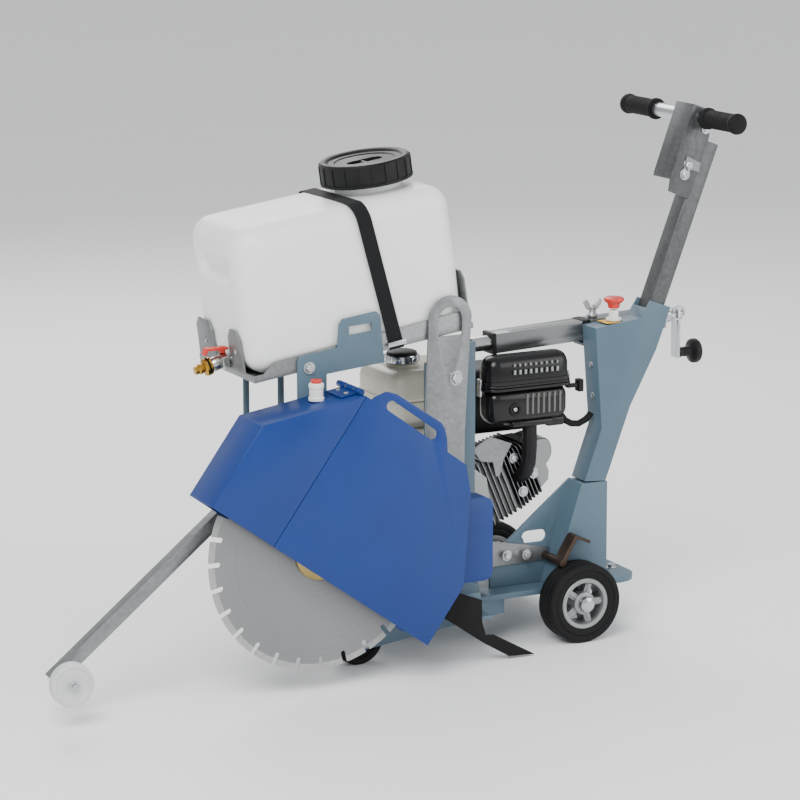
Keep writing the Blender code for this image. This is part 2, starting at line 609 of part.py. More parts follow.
def blade_outline():
    points = []
    pitch = 360 / SEGMENTS
    half_slot = math.degrees(math.asin(SLOT_WIDTH / 2 / BLADE_RADIUS))
    inner = BLADE_RADIUS - SLOT_DEPTH
    for i in range(SEGMENTS):
        start = i * pitch
        points += arc(BLADE_X, BLADE_Z, BLADE_RADIUS, start + half_slot, start + pitch - half_slot, 3)
        mid = math.radians(start + pitch)
        cx = BLADE_X + (inner + SLOT_WIDTH / 2) * math.cos(mid)
        cz = BLADE_Z + (inner + SLOT_WIDTH / 2) * math.sin(mid)
        centre = start + pitch
        points += arc(cx, cz, SLOT_WIDTH / 2, centre - 90, centre - 270, 4)
    return points


def build_arbor(deck):
    """Arbor shaft with pulley, the two flanges and the blade between them."""
    spin = body("arbor", BLADE_X, 0, BLADE_Z, deck)
    half = BLADE_THICK / 2
    blade = add("blade", sheet(blade_outline(), -half, half), STEEL, spin)
    cut(blade, rod((BLADE_X, -10, BLADE_Z), (0, 1, 0), ARBOR_RADIUS + GAP, 20, 24))
    r, t = FLANGE_RADIUS, FLANGE_THICK
    bore = ARBOR_RADIUS + GAP
    inner = [(bore, 0), (r, 0), (r, 5), (r - 10, t), (bore, t)]
    add("flange_inner", turned(inner, (BLADE_X, half + GAP, BLADE_Z), (0, 1, 0), 28, ring=True),
        YELLOW_ZINC, spin)
    outer = [(bore, 0), (r, 0), (r, 5), (r - 10, t), (22, t), (22, t + 12), (bore, t + 12)]
    add("flange_outer", turned(outer, (BLADE_X, -half - GAP, BLADE_Z), (0, -1, 0), 28, ring=True),
        YELLOW_ZINC, spin)
    seat = half + t + 2 * GAP
    p = ARBOR_PULLEY_RADIUS
    profile = [(0, -34), (ARBOR_RADIUS, -34), (ARBOR_RADIUS, seat), (p + 4, seat), (p + 4, BELT_Y0),
               (p, BELT_Y0 + 3), (p, BELT_Y1 - 3), (p + 4, BELT_Y1), (p + 4, BELT_Y1 + 2),
               (15, BELT_Y1 + 2), (15, 148), (0, 148)]
    add("arbor_shaft", turned(profile, (BLADE_X, 0, BLADE_Z), (0, 1, 0), 28), STEEL, spin)


def belt_loop(front_radius, rear_radius, steps=14):
    """Outline round both pulleys."""
    return (arc(BLADE_X, BLADE_Z, front_radius, 90, 270, steps)
            + arc(CRANK_X, CRANK_Z, rear_radius, -90, 90, steps))


def build_belt_drive(deck):
    near, far = 5.0, 41.5
    shape = [(20, 160), (54, 152), (127, 151), (138, 156), (141, 166), (141, 283), (137, 292), (127, 297),
             (54, 297), (20, 295)]
    hollow = [(10, 163), (54, 154.5), (126, 153.5), (136, 158), (138.5, 167), (138.5, 282), (135, 290),
              (126, 294.5), (54, 294.5), (10, 292)]
    cover = add("belt_guard", sheet(shape, near, far), PAINT_BLUE, deck)
    cut(cover, sheet(hollow, near + 2.5, far - 2.5), rod((CRANK_X, far - 10, CRANK_Z), (0, 1, 0), 16, 20, 20))
    a, b = ARBOR_PULLEY_RADIUS + GAP, ENGINE_PULLEY_RADIUS + GAP
    belt = add("drive_belt", sheet(belt_loop(a + BELT_THICK, b + BELT_THICK), BELT_Y0 + 3.5, BELT_Y1 - 3.5),
               RUBBER, deck)
    cut(belt, sheet(belt_loop(a, b), BELT_Y0, BELT_Y1))


def build_guard(deck):
    """Fixed part of the blade guard: its far plate runs on to the front, its back is open."""
    wall = GUARD_WALL
    split = GUARD_SPLIT + GAP
    outline = [(split, GUARD_BOTTOM), (GUARD_REAR, GUARD_BOTTOM), (GUARD_REAR, 78), (160, 214),
               (123, GUARD_TOP), (split, GUARD_TOP)]
    guard = add("blade_guard", guard_sheet(outline, GUARD_NEAR, GUARD_FAR), PAINT_BLUE, deck)
    inner = [(split - 20, GUARD_BOTTOM - 30), (GUARD_REAR + 30, GUARD_BOTTOM - 30), (GUARD_REAR + 30, 78),
             (160, 209), (122, GUARD_TOP - wall), (split - 20, GUARD_TOP - wall)]
    cut(guard, guard_sheet(inner, GUARD_NEAR + wall, GUARD_FAR - wall))
    corner = GUARD_TOP - (GUARD_SPLIT - GUARD_FRONT)
    far_plate = [(GUARD_FRONT + 1, GUARD_BOTTOM), (split + 10, GUARD_BOTTOM), (split + 10, GUARD_TOP - 1),
                 (GUARD_SPLIT, GUARD_TOP - 1), (GUARD_FRONT + 1, corner)]
    weld(guard, guard_sheet(far_plate, GUARD_FAR - wall, GUARD_FAR))
    loop = [(-96, 244), (-90, 257), (-77, 275), (-60, 281), (40, 284), (52, 279), (66, 267), (84, 244)]
    weld(guard, guard_sheet(loop, GUARD_NEAR, GUARD_NEAR + wall + 1))
    cut(guard, guard_sheet(slot(-9, 260, 112, 18), GUARD_NEAR - 5, GUARD_NEAR + 10),
        rod((BLADE_X, GUARD_FAR - 10, BLADE_Z), (0, 1, 0), 20, 20, 20))


def build_guard_flap(deck):
    """Hinged front of the guard: near plate, front plate and sloping top."""
    hx, hz = guard_point(GUARD_SPLIT, GUARD_TOP)
    swing = body("guard_flap", hx, 0, hz, deck)
    wall = GUARD_WALL
    top_front = GUARD_TOP - (GUARD_SPLIT - GUARD_FRONT)
    end = GUARD_SPLIT - GAP
    far = GUARD_FAR - wall - GAP
    outline = [(GUARD_FRONT, GUARD_BOTTOM), (end, GUARD_BOTTOM), (end, GUARD_TOP - 1),
               (GUARD_FRONT, top_front)]
    flap = add("guard_flap", guard_sheet(outline, GUARD_NEAR, far), PAINT_BLUE, swing)
    inner = [(GUARD_FRONT + wall, GUARD_BOTTOM - 20), (end + 20, GUARD_BOTTOM - 20),
             (end + 20, GUARD_TOP + 15), (GUARD_FRONT + wall, top_front - 1.5)]
    cut(flap, guard_sheet(inner, GUARD_NEAR + wall, far + 10))


def build_pointer(deck):
    """Sight arm with its roller, on a stud in the far plate of the guard."""
    qx, qz = SIGHT_PIVOT
    rx, rz = SIGHT_ROLLER
    y0, y1 = 50.5, 72.5
    swing = body("pointer", qx, 0, qz, deck)
    length = math.hypot(rx - qx, rz - qz)
    dx, dz = (rx - qx) / length, (rz - qz) / length

    def spot(a, b):
        return qx + dx * a + dz * b, qz + dz * a - dx * b

    bar = [spot(-16, -11), spot(length + 14, -11), spot(length + 14, 11), spot(-16, 11)]
    arm = add("pointer_arm", sheet(bar, y0, y1), ZINC, swing)
    hollow = [spot(-12, -20), spot(length + 10, -20), spot(length + 10, 8), spot(-12, 8)]
    cut(arm, sheet(hollow, y0 + 2.5, y1 - 2.5))
    weld(arm, rod((qx, GUARD_FAR + GAP, qz), (0, 1, 0), 7, y1 + 5 - GUARD_FAR, 16),
         rod((rx, y1 + 3, rz), (0, -1, 0), 5, y1 + 17, 16))
    roll = body("pointer_roller", rx, 0, rz, swing)
    r = SIGHT_ROLLER_RADIUS
    disc = [(5 + GAP, -10), (r - 2, -10), (r, -8), (r, 8), (r - 2, 10), (5 + GAP, 10)]
    add("pointer_roller", turned(disc, (rx, 0, rz), (0, 1, 0), 32, ring=True), WHITE_PLASTIC, roll)


def build_lifting_plate(deck):
    """Lifting eye plate that stands up beside the tank, on spacers from the deck's post."""
    y0 = GUARD_FAR + GAP
    outline = ([(45, 300), (107, 300), (108, 402), (113, 499), (120, 600)]
               + arc(79.5, 598, 41, 5, 170, 14) + [(33, 436)])
    plate = add("lifting_plate", sheet(outline, y0, y0 + 4.6), ZINC, deck)
    window = [(57, 571), (102, 571)] + arc(79.5, 598, 22.3, 0, 180, 10)
    cut(plate, sheet(window, y0 - 5, y0 + 10))
    for x, z, start in ((90, 498, y0 - 5), (76, 340, y0 + 1)):
        weld(plate, rod((x, start, z), (0, 1, 0), 8, LIFT_SPACER_END - start, 12))


# ---------------------------------------------------------------- engine

def build_engine(deck):
    build_engine_block(deck)
    build_engine_top(deck)
    build_air_cleaner(deck)
    spin = body("crankshaft", CRANK_X, 117, CRANK_Z, deck)
    p = ENGINE_PULLEY_RADIUS
    shaft = [(0, 14), (p + 4, 14), (p + 4, BELT_Y0), (p, BELT_Y0 + 3), (p, BELT_Y1 - 3), (p + 4, BELT_Y1),
             (12.5, BELT_Y1 + 1), (12.5, 124), (0, 124)]
    add("engine_pulley", turned(shaft, (CRANK_X, 0, CRANK_Z), (0, 1, 0), 28), STEEL, spin)


def build_engine_block(deck):
    foot = DECK_PLATE_Z1 + GAP
    case = [(10, foot), (190, foot), (190, 122), (178, 130), (192, 168), (200, 232), (188, 300), (150, 330),
            (40, 330), (10, 300), (2, 232), (12, 168), (26, 130), (10, 122)]
    engine = add("engine_block", sheet(case, 114, 235), ALUMINIUM, deck)
    barrel = [engine_point(60, -56), engine_point(150, -56), engine_point(150, 56), engine_point(60, 56)]
    weld(engine, sheet(barrel, 126, 215))
    cut(engine, rod((CRANK_X, 105, CRANK_Z), (0, 1, 0), 13, 20, 20))
    head = [engine_point(150 + GAP, -62), engine_point(205, -62), engine_point(222, -50),
            engine_point(232, -30), engine_point(232, 26), engine_point(215, 44),
            engine_point(150 + GAP, 56)]
    add("cylinder_head", sheet(head, 126, 215), ALUMINIUM, deck)


def build_engine_top(deck):
    fuel = add("fuel_tank", rounded_block(17, 167, 130, 280, 394, 495, 20), CREAM_ENAMEL, deck)
    weld(fuel, block(14, 170, 127, 283, 396, 399), rod((70, 205, 490), (0, 0, 1), 24, 9, 24),
         block(40, 150, 150, 228, 330 + GAP, 397))
    turn = body("fuel_cap", 70, 205, 500, deck)
    cap = [(0, 500 - GAP), (30, 500 - GAP), (30, 512), (26, 518), (0, 520)]
    add("fuel_cap", turned(cap, (70, 205, 0), (0, 0, 1), 28), DARK_METAL, turn)
    fan = [(0, 235 + GAP), (96, 235 + GAP), (98, 240), (98, 286), (88, 292), (72, 292), (70, 312), (60, 320),
           (0, 320)]
    add("fan_housing", turned(fan, (CRANK_X, 0, CRANK_Z), (0, 1, 0), 28), DARK_METAL, deck)
    add("muffler", rounded_block(195, 330, 184, 284, 358, 474, 14), DARK_METAL, deck)


def build_air_cleaner(deck):
    """Filter housing on the near side of the cylinder, its lid, inlet elbow and breather hose."""
    x0, x1, y0, y1 = AIR_X0, AIR_X1, AIR_NEAR, AIR_FAR
    base = add("air_cleaner_base", rounded_block(x0 + 10, x1 - 12, y0 + 4, y1 - 4, 389, 462, 18),
               BLACK_PLASTIC, deck)
    weld(base, slab(rounded_rect(x0, x1, y0, y1, 16), 457, 466))
    lid = add("air_cleaner_lid", rounded_block(x0 + 4, x1 - 4, y0 + 2, y1 - 2, 440, 518, 22), BLACK_PLASTIC,
              deck)
    cut(lid, block(x0 - 10, x1 + 10, y0 - 10, y1 + 10, 430, 466 + GAP))
    elbow = [(266, 103, 388.5), (266, 102, 350), (264, 102, 322), (260, 105, 306), (257, 112, 298),
             (256, 119, 296), (256, 125.5, 296)]
    tube("intake_elbow", elbow, 13, DARK_METAL, deck)
    hose = [(334, 112, 397), (344, 114, 386), (357, 116, 379), (372, 117, 377), (386, 118, 382),
            (395, 118, 389), (398, 118, 394)]
    tube("breather_hose", hose, 6, RUBBER, deck)


def tube(name, path, radius, finish, parent):
    """A round bar along a path of points."""
    curve = bpy.data.curves.new(name, 'CURVE')
    curve.dimensions = '3D'
    curve.bevel_depth = radius * MM
    curve.bevel_resolution = 3
    curve.resolution_u = 1
    curve.render_resolution_u = 0
    curve.use_fill_caps = True
    spline = curve.splines.new('POLY')
    spline.points.add(len(path) - 1)
    origin = Vector(parent["place"])
    for point, place in zip(spline.points, path):
        point.co = (*(world(*place) - origin), 1)
    curve.materials.append(make_material(name, finish))
    item = bpy.data.objects.new(name, curve)
    bpy.context.scene.collection.objects.link(item)
    item.parent = parent
    return item


# ---------------------------------------------------------------- water tank

def build_tank(deck):
    outer = rounded_block(0, TANK_LENGTH, TANK_NEAR, TANK_FAR, 0, TANK_HEIGHT, 28, 3)
    tank = add("water_tank", tilted(outer), WHITE_PLASTIC, deck)
    s, y, h = TANK_CAP_S, TANK_CAP_Y, TANK_HEIGHT
    weld(tank, tilted(rod((s, y, h - 3), (0, 0, 1), 56, 40, 28)))
    inside = rounded_block(TANK_SKIN, TANK_LENGTH - TANK_SKIN, TANK_NEAR + TANK_SKIN, TANK_FAR - TANK_SKIN,
                           TANK_SKIN, TANK_HEIGHT - TANK_SKIN, 24, 3)
    cut(tank, tilted(inside), tilted(rod((s, y, h - 10), (0, 0, 1), 50, 60, 28)))
    cx, cz = tank_point(s, h)
    turn = body("tank_cap", cx, y, cz, deck)
    r = CAP_RADIUS
    cap = [(0, 37 + GAP), (57, 37 + GAP), (57, 14), (r - 2, 14), (r - 2, 32), (r, 34), (r, 48), (r - 6, 54),
           (0, 54)]
    add("tank_cap", tilted(turned([(a, b + h) for a, b in cap], (s, y, 0), (0, 0, 1), 36)),
        BLACK_PLASTIC, turn)
    build_tray(deck)
    build_tap(deck)
    build_strap(deck)


def build_tray(deck):
    w = TRAY_WALL
    near, far = TANK_NEAR - 0.7 - w, TANK_FAR + 0.7 + w
    front, rear = -1 - w, TANK_LENGTH + 1 + w
    low = -GAP - w
    tray = add("tank_tray", tank_block(front, rear, near, far, low, 31), ZINC, deck)
    above = [(front - 10, 8), (14, 8), (36, 23.5), (rear - 24, 30), (rear, 6), (rear + 10, 6),
             (rear + 10, 80), (front - 10, 80)]
    cut(tray, tank_block(front + w, rear - w, near + w, far - w, -GAP, 60),
        tank_sheet(above, near - 10, far + 10))
    for s, y0, y1, top in ((front, 90, 138, 76), (front, 201, 266, 76), (rear - w, 60, 108, 94)):
        tab = [(y0 - 3, low + 1), (y1 + 3, low + 1), (y1, top - 14), (y1 - 12, top), (y0 + 12, top),
               (y0, top - 14)]
        weld(tray, tilted(extrude([(s + 0.2, y, h) for y, h in tab], (w - 0.4, 0, 0))))
    bracket = [(-203, 275), (-203, 552), (-200, 560), (-130, 569), (-127, 608), (-121, 616), (-59, 624),
               (-52, 617), (-44, 537), (-150, 527), (-150, 275)]
    plate = add("tank_bracket", sheet(bracket, GUARD_FAR + GAP, near - GAP), PAINT_GREY, deck)
    cut(plate, sheet([(-109, 603), (-109, 588), (-67, 592), (-67, 606)], 40, 60))


def build_tap(deck):
    """Ball tap low on the front of the tank, with its hose coupling and lever."""
    lean = math.radians(14)
    direction = (-math.cos(lean), 0, -math.sin(lean))
    x, z = tank_point(-GAP, 21)
    profile = [(0, 0), (9, 0), (9, 6), (14, 8), (14, 20), (11, 22), (11, 36), (15, 37), (15, 50), (8, 51), (8, 66),
               (0, 66)]
    add("tap_body", turned(profile, (x, TAP_Y, z), direction, 16), BRASS, deck)
    px, top = x - 14, z + 11.6
    turn = body("tap_lever", px, TAP_Y, top, deck)
    lever = add("tap_lever", rod((px, TAP_Y, top), (0, 0, 1), 6, 10, 12), RED_PLASTIC, turn)
    bar = [(px + 8, top + 5), (px + 8, top + 9), (px - 30, top + 9), (px - 34, top - 2), (px - 31, top - 2),
           (px - 28, top + 5)]
    weld(lever, sheet(bar, TAP_Y - 8, TAP_Y + 8))


def build_strap(deck):
    """Tie-down belt that runs round the tank and its tray, leaning forward on its way up."""
    width, thick = 26.0, 2.0
    near, far = TANK_NEAR - 5.7, TANK_FAR + 5.7
    low, high = -5.5, TANK_HEIGHT + 0.6
    foot, lean = 245.0, 33.0
    bm = bmesh.new()
    rows = []
    for grow in (0.0, thick):
        for s in (0.0, width):
            corners = [(near - grow, low - grow), (near - grow, high + grow), (far + grow, high + grow),
                       (far + grow, low - grow)]
            rows.append([bm.verts.new((foot + s - lean * (h - low) / (high - low), y, h)) for y, h in corners])
    inner_a, inner_b, outer_a, outer_b = rows
    for i in range(4):
        j = (i + 1) % 4
        bm.faces.new((inner_a[i], inner_a[j], inner_b[j], inner_b[i]))
        bm.faces.new((outer_a[i], outer_b[i], outer_b[j], outer_a[j]))
        bm.faces.new((inner_a[i], outer_a[i], outer_a[j], inner_a[j]))
        bm.faces.new((inner_b[i], inner_b[j], outer_b[j], outer_b[i]))
    add("tank_strap", tilted(bm), BLACK_PLASTIC, deck)


def main():
    clear_scene()
    chassis = body("chassis", MID_X, MID_Y, 0)
    build_base(chassis)
    build_column_foot(chassis)
    build_column(chassis)
    for side, y in (("near", WHEEL_NEAR_Y), ("far", WHEEL_FAR_Y)):
        build_wheel(chassis, side, y)
    build_rear_axle(chassis)
    build_front_wheels(chassis)
    build_pivot_pin(chassis)
    build_splash_flap(chassis)
    build_pedal(chassis)
    build_estop(chassis)
    build_lock_pin(chassis)
    build_spindle(chassis)
    build_handle(chassis)
    deck = body("deck", PIVOT_X, (DECK_NEAR + DECK_FAR) / 2, PIVOT_Z, chassis)
    build_deck_frame(deck)
    build_arbor(deck)
    build_belt_drive(deck)
    build_guard(deck)
    build_guard_flap(deck)
    build_pointer(deck)
    build_lifting_plate(deck)
    build_engine(deck)
    build_tank(deck)


main()
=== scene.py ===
"""Finishes and fine pieces of a walk-behind concrete saw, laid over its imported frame.

Machine coordinates are millimetres: x to the operator's end, y away from the blade, z up from the
ground, with y = 0 in the middle of the blade.
"""
import json
import math

import bmesh
import bpy
from bpy.props import FloatProperty, IntProperty, PointerProperty, StringProperty
from mathutils import Matrix, Vector

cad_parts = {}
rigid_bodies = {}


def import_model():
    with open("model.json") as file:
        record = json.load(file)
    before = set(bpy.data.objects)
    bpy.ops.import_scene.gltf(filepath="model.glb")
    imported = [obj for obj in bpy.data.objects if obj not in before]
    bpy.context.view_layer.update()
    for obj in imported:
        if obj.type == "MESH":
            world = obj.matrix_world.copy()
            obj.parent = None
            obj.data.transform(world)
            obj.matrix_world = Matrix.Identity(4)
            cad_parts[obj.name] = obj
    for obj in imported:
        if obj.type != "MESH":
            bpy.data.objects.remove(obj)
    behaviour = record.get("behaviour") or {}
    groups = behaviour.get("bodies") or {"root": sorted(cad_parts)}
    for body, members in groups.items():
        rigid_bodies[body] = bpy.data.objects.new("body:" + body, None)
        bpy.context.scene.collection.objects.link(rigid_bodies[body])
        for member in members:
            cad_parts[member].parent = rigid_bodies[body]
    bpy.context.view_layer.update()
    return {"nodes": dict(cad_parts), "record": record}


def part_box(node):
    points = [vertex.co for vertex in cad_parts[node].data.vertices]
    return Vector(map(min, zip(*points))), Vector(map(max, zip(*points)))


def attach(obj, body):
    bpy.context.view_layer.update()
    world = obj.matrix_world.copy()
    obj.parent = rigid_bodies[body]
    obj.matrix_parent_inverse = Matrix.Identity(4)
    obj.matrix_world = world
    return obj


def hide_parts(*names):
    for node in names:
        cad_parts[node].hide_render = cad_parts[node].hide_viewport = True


bl_info = {
    "name": "Concrete saw finishes",
    "version": (1, 0, 0),
    "blender": (4, 5, 0),
    "location": "3D View > Sidebar > Saw",
    "description": "Builds the fine pieces and finishes of a walk-behind concrete saw",
    "category": "Object",
}

MM = 0.001
UP, NEAR, FAR = (0, 0, 1), (0, -1, 0), (0, 1, 0)
for leftover in list(bpy.data.objects):
    bpy.data.objects.remove(leftover)
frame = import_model()
BODY_OF = {node: body for body, nodes in frame["record"]["behaviour"]["bodies"].items() for node in nodes}

BLADE_X, BLADE_Z = -186.0, 241.0
BLADE_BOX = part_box("blade")
ORIGIN = (BLADE_BOX[0] + BLADE_BOX[1]) / 2 - Vector((BLADE_X, 0, BLADE_Z)) * MM
CRANK_X, CRANK_Z = 99.0, 230.0
CYLINDER_TILT = math.radians(23)
GUARD_TILT = math.radians(36)
TANK_TILT = math.radians(8.1)
TANK_X, TANK_Z = -274.0, 526.0
SPINDLE_TILT = math.radians(2.63)
SPINDLE_PIVOT = (420.0, 537.0)
SPINDLE_Y = 160.0
HANDLE_LEAN = math.radians(20.8)
HANDLE_FOOT = (522.0, 585.0)
REAR_AXLE_X, REAR_AXLE_Z = 348.6, 71.0
REAR_WHEEL_Y = {"near": 42.0, "far": 374.0}
FRONT_AXLE_X, FRONT_AXLE_Z = -60.0, 45.0
FRONT_WHEEL_Y = {"near": 106.0, "far": 306.0}
ROLLER_X, ROLLER_Z = -625.0, 77.0
TANK_LENGTH, TANK_NEAR, TANK_FAR, TANK_HIGH = 400.0, 54.0, 269.0, 247.0
TANK_CAP = (295.0, 160.0)
FUEL_CAP = (70.0, 205.0)
# how close a CAD node's corners are to be made one, in metres, and the angles that tell its edges apart
WELD = 0.000005
FLAT = math.radians(0.6)
HARD_EDGE = math.radians(30)
BEVELLED_EDGE = math.radians(38)
# where the camera looks from, in radians, with its place in machine millimetres
CAMERA_AZIMUTH, CAMERA_ELEVATION = -0.474799587, 0.210893915
CAMERA_PLACE = Vector((-2247.42438, -4297.09416, 1515.74562))
CAMERA_LENS, CAMERA_SENSOR = 135.0, 36.0
MATERIALS = {}


# ------------------------------------------------------------------ sizes and colours a user may change

class SawTankSettings(bpy.types.PropertyGroup):
    """Water tank and its cap."""
    corner: FloatProperty(name="Corner radius", description="Roundness of the tank's corners, in millimetres",
                          default=34.0, min=10.0, max=60.0)
    bulge: FloatProperty(name="Side bulge",
                         description="How far the sides draw in at their edges, in millimetres",
                         default=3.5, min=0.0, max=10.0)
    ribs: IntProperty(name="Cap ribs", description="Number of grip ribs round the cap", default=20, min=6,
                      max=60)
    plastic: StringProperty(name="Tank plastic", description="Colour of the tank, as sRGB hex",
                            default="#E9ECE8")


class SawPaintSettings(bpy.types.PropertyGroup):
    """Colours of the painted parts."""
    guard: StringProperty(name="Guard paint", description="Colour of the blade guard, as sRGB hex",
                          default="#0D3073")
    chassis: StringProperty(name="Frame paint", description="Colour of the chassis and column, as sRGB hex",
                            default="#506573")
    edge: FloatProperty(name="Edge rounding", description="Rounding of sheet-metal edges, in millimetres",
                        default=0.7, min=0.1, max=3.0)


class SawBladeSettings(bpy.types.PropertyGroup):
    """Diamond blade."""
    segments: IntProperty(name="Segments", description="Number of diamond segments on the rim", default=28,
                          min=8, max=60)
    radius: FloatProperty(name="Blade radius", description="Radius over the segments, in millimetres",
                          default=200.0, min=100.0, max=300.0)


# ------------------------------------------------------------------ materials

def linear(hex_colour):
    parts = [int(hex_colour[i:i + 2], 16) / 255 for i in (1, 3, 5)]
    return [c / 12.92 if c <= 0.04045 else ((c + 0.055) / 1.055) ** 2.4 for c in parts] + [1.0]


def add_node(tree, kind, values=None, **settings):
    """Adds a node with its settings; values maps a socket to a constant or to another node's output."""
    item = tree.nodes.new(kind)
    for key, value in settings.items():
        setattr(item, key, value)
    for key, value in (values or {}).items():
        if isinstance(value, bpy.types.NodeSocket):
            tree.links.new(value, item.inputs[key])
        else:
            item.inputs[key].default_value = value
    return item


def surface(name, dark, light, rough, metal=0.0, cloud=14.0, grain=900.0, depth=0.1, spread=0.08,
            stretch=(1, 1, 1), shine=0.5, extra=None):
    """A finish whose tone and gloss drift over the surface, with a fine grain of its own size."""
    if name in MATERIALS:
        return MATERIALS[name]
    material = bpy.data.materials.new(name)
    material.use_nodes = True
    tree = material.node_tree
    shader = tree.nodes["Principled BSDF"]
    coords = add_node(tree, "ShaderNodeTexCoord").outputs["Object"]
    drawn = add_node(tree, "ShaderNodeMapping", {"Vector": coords, "Scale": stretch}).outputs["Vector"]
    drift = add_node(tree, "ShaderNodeTexNoise", {"Vector": drawn, "Scale": cloud, "Detail": 4.0})
    fine = add_node(tree, "ShaderNodeTexNoise", {"Vector": drawn, "Scale": grain, "Detail": 2.0})
    tone = add_node(tree, "ShaderNodeMixRGB", {"Fac": drift.outputs["Fac"], "Color1": linear(dark),
                                               "Color2": linear(light)})
    gloss = add_node(tree, "ShaderNodeMapRange", {"Value": drift.outputs["Fac"], "From Min": 0.3,
                                                  "From Max": 0.7, "To Min": rough - spread,
                                                  "To Max": rough + spread})
    bump = add_node(tree, "ShaderNodeBump", {"Height": fine.outputs["Fac"], "Strength": depth,
                                             "Distance": 0.0004})
    tree.links.new(tone.outputs["Color"], shader.inputs["Base Color"])
    tree.links.new(gloss.outputs["Result"], shader.inputs["Roughness"])
    tree.links.new(bump.outputs["Normal"], shader.inputs["Normal"])
    shader.inputs["Metallic"].default_value = metal
    shader.inputs["Specular IOR Level"].default_value = shine
    if extra:
        extra(tree, shader, coords, tone, bump)
    MATERIALS[name] = material
    return material


def shade(hex_colour, factor):
    """A hex colour made darker or lighter."""
    parts = [min(255, max(0, round(int(hex_colour[i:i + 2], 16) * factor))) for i in (1, 3, 5)]
    return "#" + "".join(f"{p:02X}" for p in parts)


def blue_enamel():
    """Powder-coated steel sheet: an even blue with a faint orange peel and soft gloss."""
    colour = bpy.context.scene.saw_paint.guard
    return surface("blue_powder_coat", shade(colour, 0.93), shade(colour, 1.06), 0.36, grain=420, depth=0.12,
                   shine=0.35)


def grey_enamel():
    """Powder-coated frame steel: grey-blue, satin, with the same orange peel."""
    colour = bpy.context.scene.saw_paint.chassis
    return surface("grey_blue_powder_coat", shade(colour, 0.94), shade(colour, 1.05), 0.42, grain=420,
                   depth=0.12, shine=0.35)


def spangle(tree, shader, coords, tone, bump):
    """Zinc crystals about 6 mm across, each a little lighter or darker than the next."""
    cells = add_node(tree, "ShaderNodeTexVoronoi", {"Vector": coords, "Scale": 170.0})
    grey = add_node(tree, "ShaderNodeRGBToBW", {"Color": cells.outputs["Color"]})
    mixed = add_node(tree, "ShaderNodeMixRGB", {"Fac": 0.16, "Color1": tone.outputs["Color"],
                                                "Color2": grey.outputs["Val"]}, blend_type="SOFT_LIGHT")
    tree.links.new(mixed.outputs["Color"], shader.inputs["Base Color"])


def galvanised():
    """Hot-dip galvanised sheet: dull grey zinc with a crystal spangle."""
    return surface("galvanised_sheet", "#76797A", "#929495", 0.42, 0.85, cloud=22, grain=300, depth=0.08,
                   extra=spangle)


def drawn_tube():
    """Zinc-plated square tube, with fine drawing lines along the machine."""
    return surface("plated_tube", "#6C6E6F", "#8E9091", 0.36, 0.9, cloud=60, grain=700, depth=0.12,
                   stretch=(0.08, 1, 1))


def bright_steel():
    """Zinc-plated steel: bright, slightly hazy."""
    return surface("bright_plated_steel", "#A9ACAF", "#C6C8CA", 0.28, 1.0, grain=600, depth=0.06)


def handle_steel():
    """Galvanised handle tube, darker, with lines along its length."""
    return surface("galvanised_tube", "#4C4E4F", "#666869", 0.44, 0.8, cloud=40, grain=600, depth=0.1,
                   stretch=(1, 1, 0.12), extra=spangle)


def cast_aluminium():
    """Sand-cast aluminium: pale, rough, with a 1 mm grain."""
    return surface("cast_aluminium", "#858788", "#A3A5A5", 0.5, 0.85, grain=800, depth=0.5)


def black_cast():
    """Heat-proof black paint on cast aluminium."""
    return surface("black_heat_paint", "#0E0F10", "#1A1B1D", 0.48, 0.0, grain=700, depth=0.4, shine=0.3)


def black_gloss():
    """Glossy moulded ABS: black with a soft sheen and shallow moulding grain."""
    return surface("black_moulded_abs", "#0B0B0C", "#131315", 0.24, grain=500, depth=0.06, spread=0.05,
                   shine=0.35)


def black_satin():
    """Injection-moulded polypropylene: satin black with a fine spark-eroded grain."""
    return surface("black_polypropylene", "#0C0C0D", "#151517", 0.46, grain=1400, depth=0.25, shine=0.25)


def rubber():
    """Vulcanised rubber: dull black with pale dust."""
    return surface("vulcanised_rubber", "#0C0C0D", "#19191A", 0.72, grain=900, depth=0.35, cloud=30,
                   shine=0.2)


def rings(tree, shader, coords, tone, bump):
    """Lathe marks in circles round the blade's centre, about 1 mm apart so that they show."""
    centre = ORIGIN + Vector((BLADE_X, 0, BLADE_Z)) * MM
    moved = add_node(tree, "ShaderNodeVectorMath", {0: coords, 1: centre}, operation="SUBTRACT")
    flat = add_node(tree, "ShaderNodeVectorMath", {0: moved.outputs["Vector"], 1: (1, 0, 1)},
                    operation="MULTIPLY")
    far = add_node(tree, "ShaderNodeVectorMath", {0: flat.outputs["Vector"]}, operation="LENGTH")
    marks = add_node(tree, "ShaderNodeTexNoise", {"W": far.outputs["Value"], "Scale": 1000.0, "Detail": 3.0},
                     noise_dimensions="1D")
    mixed = add_node(tree, "ShaderNodeMixRGB", {"Fac": 0.5, "Color1": tone.outputs["Color"],
                                                "Color2": marks.outputs["Fac"]}, blend_type="OVERLAY")
    tree.links.new(mixed.outputs["Color"], shader.inputs["Base Color"])
    tree.links.new(marks.outputs["Fac"], bump.inputs["Height"])


def blade_steel():
    """Ground tool steel: silver, with turning marks round the arbor."""
    return surface("ground_tool_steel", "#7C7D7E", "#8E8F90", 0.4, 0.75, cloud=9, depth=0.12, extra=rings)


def segment_metal():
    """Sintered bronze and diamond grit: pale grey, matt and coarse."""
    return surface("sintered_diamond_segment", "#8E8F8E", "#B9BAB8", 0.7, 0.45, cloud=160, grain=1200,
                   depth=0.9)


